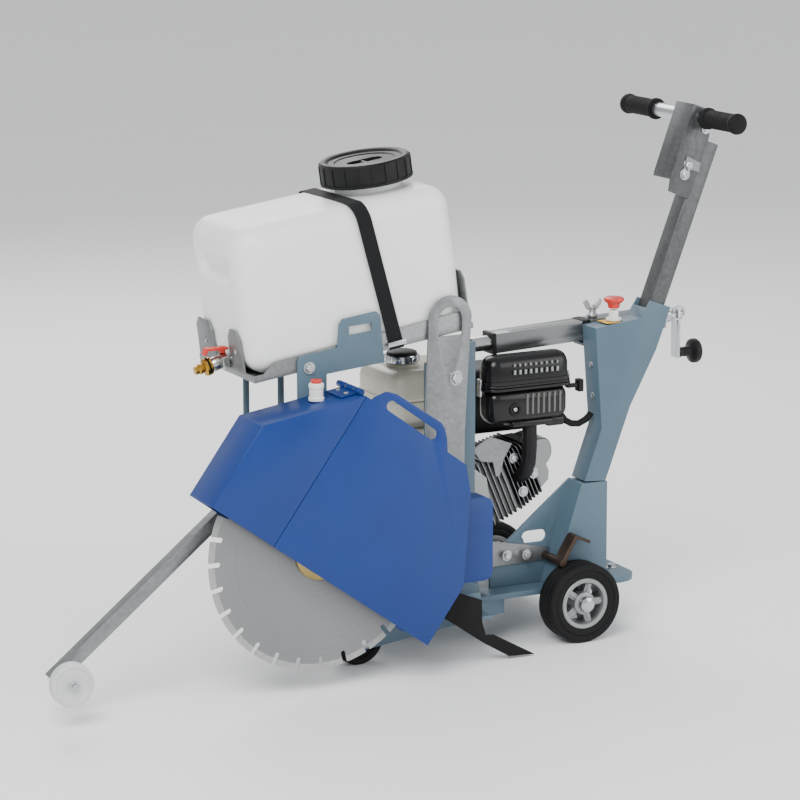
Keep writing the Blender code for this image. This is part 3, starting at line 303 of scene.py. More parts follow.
def milky(tree, shader, coords, tone, bump):
    """Light spreads about 2 cm inside the wall, so the tank glows at its edges."""
    shader.inputs["Subsurface Weight"].default_value = 0.35
    shader.inputs["Subsurface Scale"].default_value = 0.02
    shader.inputs["Subsurface Radius"].default_value = (1.0, 1.0, 0.9)


def tank_plastic():
    """Rotation-moulded polyethylene: milky white, waxy, with a slow drift in the wall's thickness."""
    colour = bpy.context.scene.saw_tank.plastic
    return surface("milky_polyethylene", shade(colour, 0.97), shade(colour, 1.03), 0.36, cloud=5, grain=260,
                   depth=0.05, extra=milky)


def weave(tree, shader, coords, tone, bump):
    """Weft ribs 1.5 mm apart across the belt, as coarse as they need to be to show."""
    ribs = add_node(tree, "ShaderNodeTexWave", {"Vector": coords, "Scale": 210.0, "Distortion": 0.4},
                    bands_direction="Z")
    tree.links.new(ribs.outputs["Fac"], bump.inputs["Height"])
    shader.inputs["Sheen Weight"].default_value = 0.08


def webbing():
    """Woven polyester belt: dull black, ribbed across."""
    return surface("polyester_webbing", "#0D0E10", "#17181B", 0.75, depth=0.5, shine=0.15,
                   extra=weave)


def brass():
    """Turned brass: warm yellow with fine lathe marks."""
    return surface("turned_brass", "#9C7526", "#C39A45", 0.3, 1.0, cloud=60, grain=900, depth=0.1)


def nickel():
    """Nickel-plated brass: a slightly warm silver."""
    return surface("nickel_plate", "#A8A8A4", "#C9C9C6", 0.22, 1.0, grain=500, depth=0.04)


def yellow_zinc():
    """Yellow-passivated steel: bronze with a faint rainbow drift."""
    return surface("yellow_passivated_zinc", "#8C7744", "#B5A26C", 0.38, 0.85, cloud=35, grain=500, depth=0.1)


def red_plastic():
    """Moulded nylon: signal red with a soft gloss."""
    return surface("red_moulded_nylon", "#BE2A20", "#D63A2D", 0.33, grain=700, depth=0.06)


def white_plastic():
    """Moulded acetal: white, waxy."""
    return surface("white_acetal", "#DADCD8", "#ECEDEA", 0.4, grain=500, depth=0.08)


def roller_plastic():
    """Turned polyamide roller: off-white and dull, its tone clouded by wear."""
    return surface("grey_polyamide", "#B9BBBB", "#D2D3D2", 0.48, cloud=45, grain=500, depth=0.2)


def cream_enamel():
    """Stove-enamelled steel: cream, glossy."""
    return surface("cream_stove_enamel", "#D3CFBC", "#E3DFCE", 0.26, grain=260, depth=0.05)


def chrome():
    """Chromium plate: mirror bright."""
    return surface("chromium_plate", "#B9BBBE", "#D4D6D8", 0.1, 1.0, grain=300, depth=0.02, spread=0.04)


def browned_steel():
    """Steel browned by heat and handling."""
    return surface("browned_steel", "#2E241E", "#4A3A2F", 0.52, 0.6, cloud=60, grain=500, depth=0.4)


def yellow_plate():
    """Plain yellow vinyl under the stop button."""
    return surface("yellow_vinyl", "#D9A512", "#EDBB2A", 0.4, grain=400, depth=0.04)


# ------------------------------------------------------------------ shapes, all in machine millimetres

def arc(cx, cz, radius, start, end, steps):
    angles = [math.radians(start + (end - start) * i / steps) for i in range(steps + 1)]
    return [(cx + radius * math.cos(a), cz + radius * math.sin(a)) for a in angles]


def rounded_rect(x0, x1, z0, z1, radius, steps=6):
    return (arc(x1 - radius, z1 - radius, radius, 0, 90, steps)
            + arc(x0 + radius, z1 - radius, radius, 90, 180, steps)
            + arc(x0 + radius, z0 + radius, radius, 180, 270, steps)
            + arc(x1 - radius, z0 + radius, radius, 270, 360, steps))


def verts_of(made):
    """The vertices among what an operator returned."""
    return [item for item in made["geom"] if isinstance(item, bmesh.types.BMVert)]


def extruded(points, direction):
    bm = bmesh.new()
    face = bm.faces.new([bm.verts.new(p) for p in points])
    moved = bmesh.ops.extrude_face_region(bm, geom=[face])
    bmesh.ops.translate(bm, vec=direction, verts=verts_of(moved))
    bmesh.ops.recalc_face_normals(bm, faces=bm.faces)
    return bm


def plate(outline, y0, y1):
    """An outline in x and z, as thick as y0 to y1."""
    return extruded([(x, y0, z) for x, z in outline], (0, y1 - y0, 0))


def block(x0, x1, y0, y1, z0, z1, radius=0.0, segments=3):
    bm = bmesh.new()
    bmesh.ops.create_cube(bm, size=1.0)
    bmesh.ops.scale(bm, vec=(x1 - x0, y1 - y0, z1 - z0), verts=bm.verts)
    bmesh.ops.translate(bm, vec=((x0 + x1) / 2, (y0 + y1) / 2, (z0 + z1) / 2), verts=bm.verts)
    if radius:
        bmesh.ops.bevel(bm, geom=bm.edges, offset=radius, offset_type="OFFSET", affect="EDGES",
                        segments=segments, profile=0.5, clamp_overlap=True, material=-1)
    return bm


def aim(axis):
    return Vector((0, 0, 1)).rotation_difference(Vector(axis)).to_matrix()


def lathe(profile, centre, axis, steps=32, closed=False):
    """A profile of (radius, height) spun round an axis."""
    bm = bmesh.new()
    verts = [bm.verts.new((r, 0, h)) for r, h in profile]
    pairs = list(zip(verts, verts[1:])) + ([(verts[-1], verts[0])] if closed else [])
    edges = [bm.edges.new(pair) for pair in pairs if max(pair[0].co.x, pair[1].co.x) > 0]
    bmesh.ops.spin(bm, geom=verts + edges, cent=(0, 0, 0), axis=(0, 0, 1), angle=2 * math.pi, steps=steps,
                   use_merge=True)
    bmesh.ops.remove_doubles(bm, verts=bm.verts, dist=0.002)
    bmesh.ops.recalc_face_normals(bm, faces=bm.faces)
    bmesh.ops.rotate(bm, cent=(0, 0, 0), matrix=aim(axis), verts=bm.verts)
    bmesh.ops.translate(bm, vec=centre, verts=bm.verts)
    return bm


def merge(*parts):
    """Several shapes as one mesh, each keeping its material numbers."""
    whole = bmesh.new()
    for part in parts:
        held = bpy.data.meshes.new("held")
        part.to_mesh(held)
        part.free()
        whole.from_mesh(held)
        bpy.data.meshes.remove(held)
    return whole


def finish_of(bm, number):
    """Gives every face of a shape the piece's material of that number."""
    for face in bm.faces:
        face.material_index = number
    return bm


def carve(bm, *tools):
    """Cuts tools out of a shape with exact Booleans."""
    things = []
    for shape in (bm, *tools):
        mesh = bpy.data.meshes.new("shape")
        shape.to_mesh(mesh)
        shape.free()
        thing = bpy.data.objects.new("shape", mesh)
        bpy.context.scene.collection.objects.link(thing)
        things.append(thing)
    for tool in things[1:]:
        modifier = things[0].modifiers.new("cut", "BOOLEAN")
        modifier.operation = "DIFFERENCE"
        modifier.solver = "EXACT"
        modifier.object = tool
    bpy.context.view_layer.update()
    result = bmesh.new()
    result.from_object(things[0], bpy.context.evaluated_depsgraph_get())
    for thing in things:
        bpy.data.objects.remove(thing)
    return result


def turn(bm, axis, angle, centre):
    bmesh.ops.rotate(bm, cent=centre, matrix=Matrix.Rotation(angle, 3, axis), verts=bm.verts)
    return bm


def guard_point(u, w):
    """A point on the tilted guard, along its lower edge and square to it, as x and z."""
    c, s = math.cos(GUARD_TILT), math.sin(GUARD_TILT)
    return BLADE_X + u * c + w * s, BLADE_Z - u * s + w * c


def tank_point(s, h):
    """A point on the tilted tank, along it and up it, as x and z."""
    c, n = math.cos(TANK_TILT), math.sin(TANK_TILT)
    return TANK_X + s * c - h * n, TANK_Z + s * n + h * c


def tilted(bm):
    """Moves a shape drawn in the tank's own frame to its place."""
    turn(bm, "Y", -TANK_TILT, (0, 0, 0))
    bmesh.ops.translate(bm, vec=(TANK_X, 0, TANK_Z), verts=bm.verts)
    return bm


def engine_point(along, across):
    """A point on the leaning cylinder, along and across its axis, as x and z."""
    c, s = math.cos(CYLINDER_TILT), math.sin(CYLINDER_TILT)
    return CRANK_X + along * c - across * s, CRANK_Z + along * s + across * c


def spindle_point(along, across=0.0):
    c, s = math.cos(SPINDLE_TILT), math.sin(SPINDLE_TILT)
    return SPINDLE_PIVOT[0] - along * c - across * s, SPINDLE_PIVOT[1] - along * s + across * c


def handle_point(along, across=0.0):
    c, s = math.cos(HANDLE_LEAN), math.sin(HANDLE_LEAN)
    return HANDLE_FOOT[0] + along * s + across * c, HANDLE_FOOT[1] + along * c - across * s


def bolt(centre, axis, across, height):
    """A hexagon bolt head on its washer."""
    r = across / 2 / math.cos(math.pi / 6)
    head = lathe([(0, 1.5), (r, 1.5), (r, height - 0.8), (r - 1.1, height), (0, height)], centre, axis, 6)
    ring = lathe([(0, 0), (r + 2.8, 0), (r + 2.8, 1.1), (r + 2.3, 1.5), (0, 1.5)], centre, axis, 24)
    return merge(head, ring)


def dome(centre, axis, radius, height):
    """A round-headed socket screw."""
    return lathe([(0, 0), (radius, 0), (radius, height * 0.45), (radius * 0.75, height * 0.85),
                  (radius * 0.4, height), (radius * 0.38, height * 0.3), (0, height * 0.3)], centre, axis, 20)


def piece(name, bm, materials, body, stands_for=(), bevel=0.0, sharp=35):
    """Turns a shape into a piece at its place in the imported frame, riding on a body."""
    bmesh.ops.transform(bm, matrix=Matrix.Translation(ORIGIN) @ Matrix.Scale(MM, 4), verts=bm.verts)
    mesh = bpy.data.meshes.new(name)
    bm.to_mesh(mesh)
    bm.free()
    mesh.shade_smooth()
    mesh.set_sharp_from_angle(angle=math.radians(sharp))
    for material in materials if isinstance(materials, (list, tuple)) else [materials]:
        mesh.materials.append(material)
    item = bpy.data.objects.new(name, mesh)
    bpy.context.scene.collection.objects.link(item)
    if bevel:
        modifier = item.modifiers.new("edges", "BEVEL")
        modifier.width = bevel * MM
        modifier.segments = 2
        modifier.limit_method = "ANGLE"
        modifier.angle_limit = BEVELLED_EDGE
    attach(item, body)
    if stands_for:
        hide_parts(*stands_for)
    return item


def soften(node, material, width=None):
    """The CAD node's shape with its hard edges rounded, which stands for it."""
    bm = bmesh.new()
    bm.from_mesh(frame["nodes"][node].data)
    bmesh.ops.remove_doubles(bm, verts=bm.verts, dist=WELD)
    bmesh.ops.dissolve_limit(bm, angle_limit=FLAT, verts=bm.verts, edges=bm.edges)
    edges = [e for e in bm.edges if len(e.link_faces) == 2 and e.calc_face_angle(0) > HARD_EDGE]
    rounding = (width or bpy.context.scene.saw_paint.edge) * MM
    bmesh.ops.bevel(bm, geom=edges, offset=rounding, offset_type="OFFSET", affect="EDGES", segments=2,
                    profile=0.5, clamp_overlap=True, material=-1)
    back = Matrix.Scale(1 / MM, 4) @ Matrix.Translation(-ORIGIN)
    bmesh.ops.transform(bm, matrix=back, verts=bm.verts)
    return piece(node + "_finished", bm, material, BODY_OF[node], [node])


# ------------------------------------------------------------------ chassis

def wheel_parts(side, y):
    x, z = REAR_AXLE_X, REAR_AXLE_Z
    centre = (x, y, z)
    tyre = ([(45.6, 4), (47, 2.5), (55, 0.8), (58, 2.2), (60, 0.5), (64, 0.4)]
            + arc(64.2, 6.8, 6.4, -90, 0, 6) + [(70.7, 16), (69.6, 17), (69.6, 19), (70.9, 20), (70.9, 28),
                                                (69.6, 29), (69.6, 31), (70.7, 32)]
            + arc(64.2, 41.2, 6.4, 0, 90, 6) + [(60, 47.5), (58, 45.8), (55, 47.2), (47, 45.5), (45.6, 44)])
    piece("tyre_" + side, lathe(tyre, centre, FAR, 64, True), rubber(), "rear_wheel_" + side,
          ["rear_tyre_" + side])
    rim = lathe([(36, 7), (38, 3.5), (44, 2.5), (45.6, 4), (45.6, 44), (44, 45.5), (38, 44.5), (36, 41)],
                centre, FAR, 48, True)
    hub = lathe([(10.3, 3), (17, 3), (20, 5), (21, 10), (21, 38), (20, 43), (17, 45), (10.3, 45)], centre,
                FAR, 40, True)
    spokes = []
    for i in range(5):
        spoke = merge(block(x - 6.5, x + 6.5, y + 9, y + 19, z + 18, z + 40, 2.0),
                      block(x - 6.5, x + 6.5, y + 29, y + 39, z + 18, z + 40, 2.0),
                      block(x - 2.5, x + 2.5, y + 7, y + 41, z + 18, z + 38, 1.0))
        spokes.append(turn(spoke, "Y", math.radians(72 * i + 18), centre))
    piece("rim_" + side, merge(rim, hub, *spokes), cast_aluminium(), "rear_wheel_" + side,
          ["rear_rim_" + side])


def build_wheels():
    for side, y in REAR_WHEEL_Y.items():
        wheel_parts(side, y)
    axle = lathe([(0, -8), (6, -9), (9, -8.4), (13, -6), (14, -3), (14, 1.6), (10, 2), (10, 378), (14, 378.4),
                  (14, 384), (9, 390), (6, 391.5), (0, 391.5)],
                 (REAR_AXLE_X, REAR_WHEEL_Y["near"], REAR_AXLE_Z), FAR, 32)
    piece("rear_axle_turned", axle, bright_steel(), "chassis", ["rear_axle"])
    for side, y in FRONT_WHEEL_Y.items():
        shape = ([(8.3, 0.5), (15, 0.5), (17, 4), (31, 5), (35, 1)] + arc(40, 5, 4.8, -90, 0, 5)
                 + [(45, 9), (45, 19)] + arc(40, 23, 4.8, 0, 90, 5)
                 + [(35, 27), (31, 23), (17, 24), (15, 27.5), (8.3, 27.5)])
        piece("caster_" + side, lathe(shape, (FRONT_AXLE_X, y, FRONT_AXLE_Z), FAR, 48, True), rubber(),
              "front_wheel_" + side, ["front_wheel_" + side])
    soften("front_axle", bright_steel(), 0.6)


def build_chassis():
    for node in ("base_frame", "column_foot", "column"):
        soften(node, grey_enamel(), 1.6 if node == "column" else 1.1)
    soften("pivot_pin", bright_steel())
    soften("splash_flap", rubber(), 1.0)
    soften("catch_plate", galvanised(), 0.5)
    soften("lock_pedal", browned_steel(), 0.6)
    heads = []
    top_x, top_z, foot_x, foot_z = 392, 548, 407, 369
    for z in (480.0, 425.0):
        x = top_x + (top_z - z) * (foot_x - top_x) / (top_z - foot_z)
        heads.append(dome((x, 118, z), (-1, 0, 0.08), 5.0, 3.0))
    heads += [bolt((235, 123.5, 153), NEAR, 12, 6), bolt((275, 123.5, 150), NEAR, 12, 6)]
    heads += [bolt((x, y, 94), UP, 13, 7) for x, y in ((470, 160), (470, 300), (140, 320))]
    piece("chassis_fasteners", merge(*heads), bright_steel(), "chassis", (), 0.2)
    bracket = merge(plate([(505, 508), (538, 512), (546, 516), (546, 531), (521, 531)], 141.2, 147),
                    plate([(529, 548), (546, 552), (549, 582), (533, 584)], 141.2, 144))
    piece("column_bracket", bracket, grey_enamel(), "chassis", (), 0.8)
    piece("bracket_nut", bolt((531, 147, 521), FAR, 14, 7), yellow_zinc(), "chassis", (), 0.2)


def build_controls():
    x, y, z = 441.0, 117.0, 555.4
    piece("stop_label", block(417, 466, 100, 134, 553.2, 554.0, 0.2), yellow_plate(), "chassis")
    stem = lathe([(0, -14), (8, -14), (8, 0), (14, 0.2), (14, 3.4), (12.5, 4.6), (9, 5), (8.6, 16), (8, 18),
                  (0, 18)], (x, y, z), UP, 32)
    piece("stop_stem", stem, white_plastic(), "chassis", ["stop_switch_base"])
    button = lathe([(0, 21.5), (9, 21.5), (10.5, 24), (11, 29), (16, 33), (18, 35.5), (18.2, 37.5),
                    (17.4, 39.4), (14, 40.8), (9, 41.6), (0, 41.9)], (x, y, z), UP, 48)
    piece("stop_mushroom", button, red_plastic(), "stop_button", ["stop_button"])
    px, pz = handle_point(-16.3, 28)
    normal = (math.cos(HANDLE_LEAN), 0, -math.sin(HANDLE_LEAN))
    plunger = lathe([(0, -15.8), (4, -15.8), (5, -14.5), (5, 0.4), (8, 0.9), (8.4, 4), (7.4, 4.6), (7.4, 13),
                     (5.4, 15.4), (3.6, 16), (3.6, 23), (0, 23.4)], (px, 117, pz), normal, 28)
    ring = lathe(arc(11.5, 0, 1.9, 0, 330, 11), (px + 32, 117, pz - 3), FAR, 40, True)
    piece("pull_pin", merge(plunger, ring), bright_steel(), "handle_lock_pin", ["handle_lock_pin"])


# ------------------------------------------------------------------ handle and spindle

def build_handle():
    soften("handle_tube", handle_steel(), 2.0)
    soften("handle_head", handle_steel(), 0.8)
    soften("handle_bar", bright_steel(), 0.6)
    heads = [bolt((576, 96.5, 822), NEAR, 13, 6), bolt((569, 96.5, 806), NEAR, 13, 6),
             bolt((611, 96.5, 883), NEAR, 11, 5)]
    piece("handle_bolts", merge(*heads), bright_steel(), "handle", (), 0.2)
    clamp = plate([(596, 808), (600, 824), (572, 838), (566, 818)], 93.8, 96.4)
    piece("clamp_plate", clamp, galvanised(), "handle", (), 0.4)
    r, length = 12.8, 98.0
    profile = [(0, -5), (8, -5), (14, -3.6), (17.6, 0), (18.4, 4), (17.6, 9), (15.6, 13), (15.2, 16)]
    for i in range(9):
        start = 18 + 7.6 * i
        profile += [(15.8, start), (16.2, start + 2.4), (16.2, start + 4.6), (15.4, start + 6.8)]
    profile += [(15.4, length - 9), (19, length - 6), (19.2, length - 1), (18.4, length), (r, length), (r, 0),
                (0, 0)]
    for side, y, way in (("near", -15.0, 1), ("far", 345.0, -1)):
        piece("hand_grip_" + side, lathe(profile, (604, y, 903), (0, way, 0), 40), rubber(), "handle",
              ["grip_" + side])


def spindle_bar(start, end, low, high, y0, y1):
    """A bar along the spindle, between two distances, two heights and two widths."""
    corners = ((start, low), (end, low), (end, high), (start, high))
    return plate([spindle_point(*corner) for corner in corners], y0, y1)


def build_spindle():
    soften("spindle_tube", drawn_tube(), 2.2)
    soften("push_rod", bright_steel(), 0.5)
    soften("crank", bright_steel(), 0.9)
    low, high = -17.0, 17.0
    collar = spindle_bar(10, 26, low - 1.2, high + 1.2, 141.3, 178.7)
    piece("guide_collar", collar, black_satin(), "spindle", (), 0.6)
    cap = spindle_bar(199, 206, low - 1.6, high + 1.6, 140.8, 179.2)
    piece("tube_end_cap", cap, black_satin(), "spindle", (), 0.8)
    piece("depth_scale", spindle_bar(30, 168, high + 0.1, high + 0.7, 146, 158), nickel(), "spindle")
    marks = []
    for i in range(27):
        a = 34 + 5 * i
        marks.append(spindle_bar(a, a + 0.7, high + 0.6, high + 0.9, 146.5, 154 if i % 5 == 0 else 150))
    piece("depth_marks", merge(*marks), black_satin(), "spindle")
    x, z = spindle_point(-4, 18)
    screw = lathe([(0, 0), (9, 0), (9.4, 1), (9, 5.6), (6.4, 7.6), (6, 15), (7, 18), (5, 21), (0, 22)],
                  (x, SPINDLE_Y, z), UP, 24)
    wings = []
    for side in (-1, 1):
        outline = [(x + side * a, z + b) for a, b in ((3, 11), (9, 13), (14, 18), (18, 24), (19, 29),
                                                      (16, 32), (11, 31.5), (8, 27), (4.5, 21))]
        wings.append(plate(outline if side > 0 else outline[::-1], 158, 162))
    piece("wing_screw", merge(screw, *wings), bright_steel(), "clamp_screw", ["clamp_screw"], 1.0)
    crank_length = 68
    grip_z = spindle_point(-149)[1] - crank_length
    knob = lathe([(5.3, 0.4), (8, 0.4), (9.4, 2), (9.4, 7), (8, 8.4), (8, 12), (9, 13.6), (9, 20), (11, 25),
                  (17, 28), (21, 30.5), (22, 34), (22, 38.6), (20.4, 41.6), (15, 43.6), (0, 44), (0, 37),
                  (5.3, 37)], (600.3, SPINDLE_Y, grip_z), (1, 0, 0), 48, True)
    piece("hand_knob", knob, black_satin(), "crank_knob", ["crank_knob"])


# ------------------------------------------------------------------ deck, drive, blade and guard

def build_deck():
    soften("deck_frame", grey_enamel(), 0.6)
    soften("lifting_plate", galvanised(), 0.7)
    soften("tank_bracket", grey_enamel(), 0.8)
    soften("drive_belt", rubber(), 0.8)
    soften("engine_pulley", bright_steel(), 0.6)
    heads = [bolt((90, 45.2, 498), NEAR, 17, 9), bolt((-182, 45.2, 540), NEAR, 13, 6),
             bolt((90, 50.2, 340), NEAR, 13, 3)]
    piece("deck_fasteners", merge(*heads), bright_steel(), "deck", (), 0.25)


def build_blade():
    settings = bpy.context.scene.saw_blade
    radius, pitch = settings.radius, 360 / settings.segments
    slot, segment_height, slot_depth, bore = 4.25, 10, 17, 13
    half = math.degrees(math.asin(slot / radius))
    weld = radius - segment_height
    outline = []
    for i in range(settings.segments):
        start = i * pitch
        outline += arc(BLADE_X, BLADE_Z, weld, start + half, start + pitch - half, 4)
        mid = math.radians(start + pitch)
        keyhole = (BLADE_X + (radius - slot_depth) * math.cos(mid),
                   BLADE_Z + (radius - slot_depth) * math.sin(mid))
        outline += arc(*keyhole, slot, start + pitch - 90, start + pitch - 270, 6)
    hole = lathe([(0, -5), (bore, -5), (bore, 5), (0, 5)], (BLADE_X, 0, BLADE_Z), FAR, 32)
    core = carve(plate(outline, -1.25, 1.25), hole)
    piece("blade_core", core, blade_steel(), "arbor", ["blade"])
    teeth = []
    for i in range(settings.segments):
        a, b = i * pitch + half, (i + 1) * pitch - half
        shape = arc(BLADE_X, BLADE_Z, radius, a, b, 4) + arc(BLADE_X, BLADE_Z, weld - 0.4, b, a, 4)
        teeth.append(plate(shape, -1.6, 1.6))
    piece("blade_segments", merge(*teeth), segment_metal(), "arbor", (), 0.3)
    for node in ("flange_inner", "flange_outer"):
        soften(node, yellow_zinc(), 0.8)
    soften("arbor_shaft", bright_steel(), 0.6)
    nut = lathe([(0, 0), (19, 0), (19, 8.6), (17, 10), (0, 10)], (BLADE_X, -26.2, BLADE_Z), NEAR, 6)
    piece("arbor_nut", nut, bright_steel(), "arbor", (), 0.5)


def build_guard():
    soften("blade_guard", blue_enamel(), 1.2)
    soften("guard_flap", blue_enamel(), 1.2)
    soften("belt_guard", blue_enamel(), 1.2)
    d = math.sqrt(0.5)
    top_u, top_w = -104, 250

    def chamfer(along, out):
        """A point along the guard's front chamfer and out of it, from the chamfer's upper end."""
        return guard_point(top_u - (along + out) * d, top_w + (out - along) * d)

    leaf = [chamfer(a, b) for a, b in ((1, 0.3), (34, 0.3), (34, 2.6), (1, 2.6))]
    piece("hinge_leaf", plate(leaf, -20, 36), blue_enamel(), "guard_flap", (), 0.5)
    nx, nz = guard_point(0, 0)
    ox, oz = guard_point(-d, d)
    out = (ox - nx, 0, oz - nz)
    x, z = chamfer(18, 2.6)
    screws = [dome((x, y, z), out, 5.0, 2.8) for y in (-8, 22)]
    piece("hinge_screws", merge(*screws), bright_steel(), "guard_flap")
    hx, hz = chamfer(0, 3.5)
    barrel = [lathe([(0, 0), (5.2, 0), (5.6, 0.6), (5.6, 26.4), (5.2, 27), (0, 27)], (hx, y, hz), FAR, 24)
              for y in (-30, -1, 28)]
    pin = lathe([(0, 0), (4, 0), (4, 72), (0, 72)], (hx, -32, hz), FAR, 16)
    piece("hinge_barrel", merge(*barrel[:2], pin, barrel[2]), blue_enamel(), "deck", (), 0.2)
    fx, fz = chamfer(66, 0.4)
    fitting = lathe([(0, 0), (13, 0), (13, 5), (11.5, 6), (11.5, 20), (12.5, 21), (12.5, 27), (11, 29),
                     (0, 29)], (fx, 6, fz), UP, 28)
    collar = lathe([(0, 29), (8.4, 29), (8.4, 31), (9.4, 32), (9.4, 34), (4.4, 35), (4, 31), (0, 31)],
                   (fx, 6, fz), UP, 28)
    piece("water_fitting", fitting, white_plastic(), "guard_flap", (), 0.3)
    piece("fitting_collar", collar, red_plastic(), "guard_flap")
    small = []
    for u, w in ((-128, 6), (-131, 96)):
        x, z = guard_point(u, w)
        small.append(dome((x, -47.2, z), NEAR, 4.0, 0.8))
    piece("flap_screws", merge(*small), bright_steel(), "guard_flap")


def build_pointer():
    soften("pointer_arm", galvanised(), 0.5)
    roller = lathe([(5.3, -9.8), (9, -9.8), (10, -8), (28, -8), (30, -9.8), (33.4, -9.8), (35.6, -8.4),
                    (36, -6.4), (36, 6.4), (35.6, 8.4), (33.4, 9.8), (30, 9.8), (28, 8), (10, 8), (9, 9.8),
                    (5.3, 9.8)], (ROLLER_X, 0, ROLLER_Z), FAR, 56, True)
    piece("guide_roller", roller, roller_plastic(), "pointer_roller", ["pointer_roller"])
    piece("roller_bolt", bolt((ROLLER_X, -14.0, ROLLER_Z), NEAR, 10, 3.5), bright_steel(), "pointer", (), 0.2)


# ------------------------------------------------------------------ engine

def fin(along, low, high, thick):
    """One cooling fin across the cylinder, its rim left bright."""
    corners = rounded_rect(low, high, 118, 219, 9, 3)
    points = []
    for across, y in corners:
        x, z = engine_point(along, across)
        points.append((x, y, z))
    c, s = math.cos(CYLINDER_TILT), math.sin(CYLINDER_TILT)
    bm = extruded(points, (thick * c, 0, thick * s))
    for face in bm.faces:
        face.material_index = 1 if len(face.verts) == 4 else 0
    caps = [f for f in bm.faces if len(f.verts) > 4]
    bmesh.ops.inset_individual(bm, faces=caps, thickness=0.5, depth=0.0)
    return bm


def build_engine():
    soften("engine_block", cast_aluminium(), 1.5)
    soften("fan_housing", black_cast(), 1.5)
    fins = [fin(66 + 9.4 * i, -62, 60, 1.4) for i in range(9)]
    piece("cylinder_fins", merge(*fins), [black_cast(), cast_aluminium()], "deck")
    fins = [fin(153 + 7.6 * i, -62 + 1.4 * i, 56 - 1.2 * i, 1.5) for i in range(7)]
    block_end = ((150.4, -50), (206, -46), (206, 40), (150.4, 46))
    core = plate([engine_point(*corner) for corner in block_end], 130, 211)
    rocker = ((206, -48), (224, -42), (231, -28), (231, 22), (224, 36), (206, 42))
    cover = finish_of(plate([engine_point(*corner) for corner in rocker], 132, 209), 1)
    piece("finned_head", merge(finish_of(core, 0), *fins, cover), [black_cast(), cast_aluminium()], "deck",
          ["cylinder_head"], 0.8)
    c, s = math.cos(CYLINDER_TILT), math.sin(CYLINDER_TILT)
    heads = []
    for along, across in ((165, -30), (172, 34), (196, -10)):
        x, z = engine_point(along, across)
        heads.append(bolt((x, 117.6, z), NEAR, 12, 6))
    for across, y in ((-34, 150), (28, 150), (-34, 192), (28, 192)):
        x, z = engine_point(231, across * 0.7)
        heads.append(bolt((x, y, z), (c, 0, s), 11, 5))
    piece("engine_bolts", merge(*heads), bright_steel(), "deck", (), 0.2)
    shield = [(160, 352), (196, 372), (238, 356), (222, 330), (214, 300), (206, 300), (200, 326), (176, 330)]
    piece("cylinder_shield", plate(shield, 113, 116.5), galvanised(), "deck", (), 0.8)
    shroud = ([(286, 306), (306, 300)] + arc(300, 330, 30, -50, 50, 8) + [(304, 354), (288, 350)])
    piece("exhaust_shroud", plate(shroud, 134, 206), cast_aluminium(), "deck", (), 3.0)
    soften("muffler", black_cast(), 2.0)
    soften("intake_elbow", black_satin(), 0.5)
    soften("breather_hose", rubber(), 0.5)


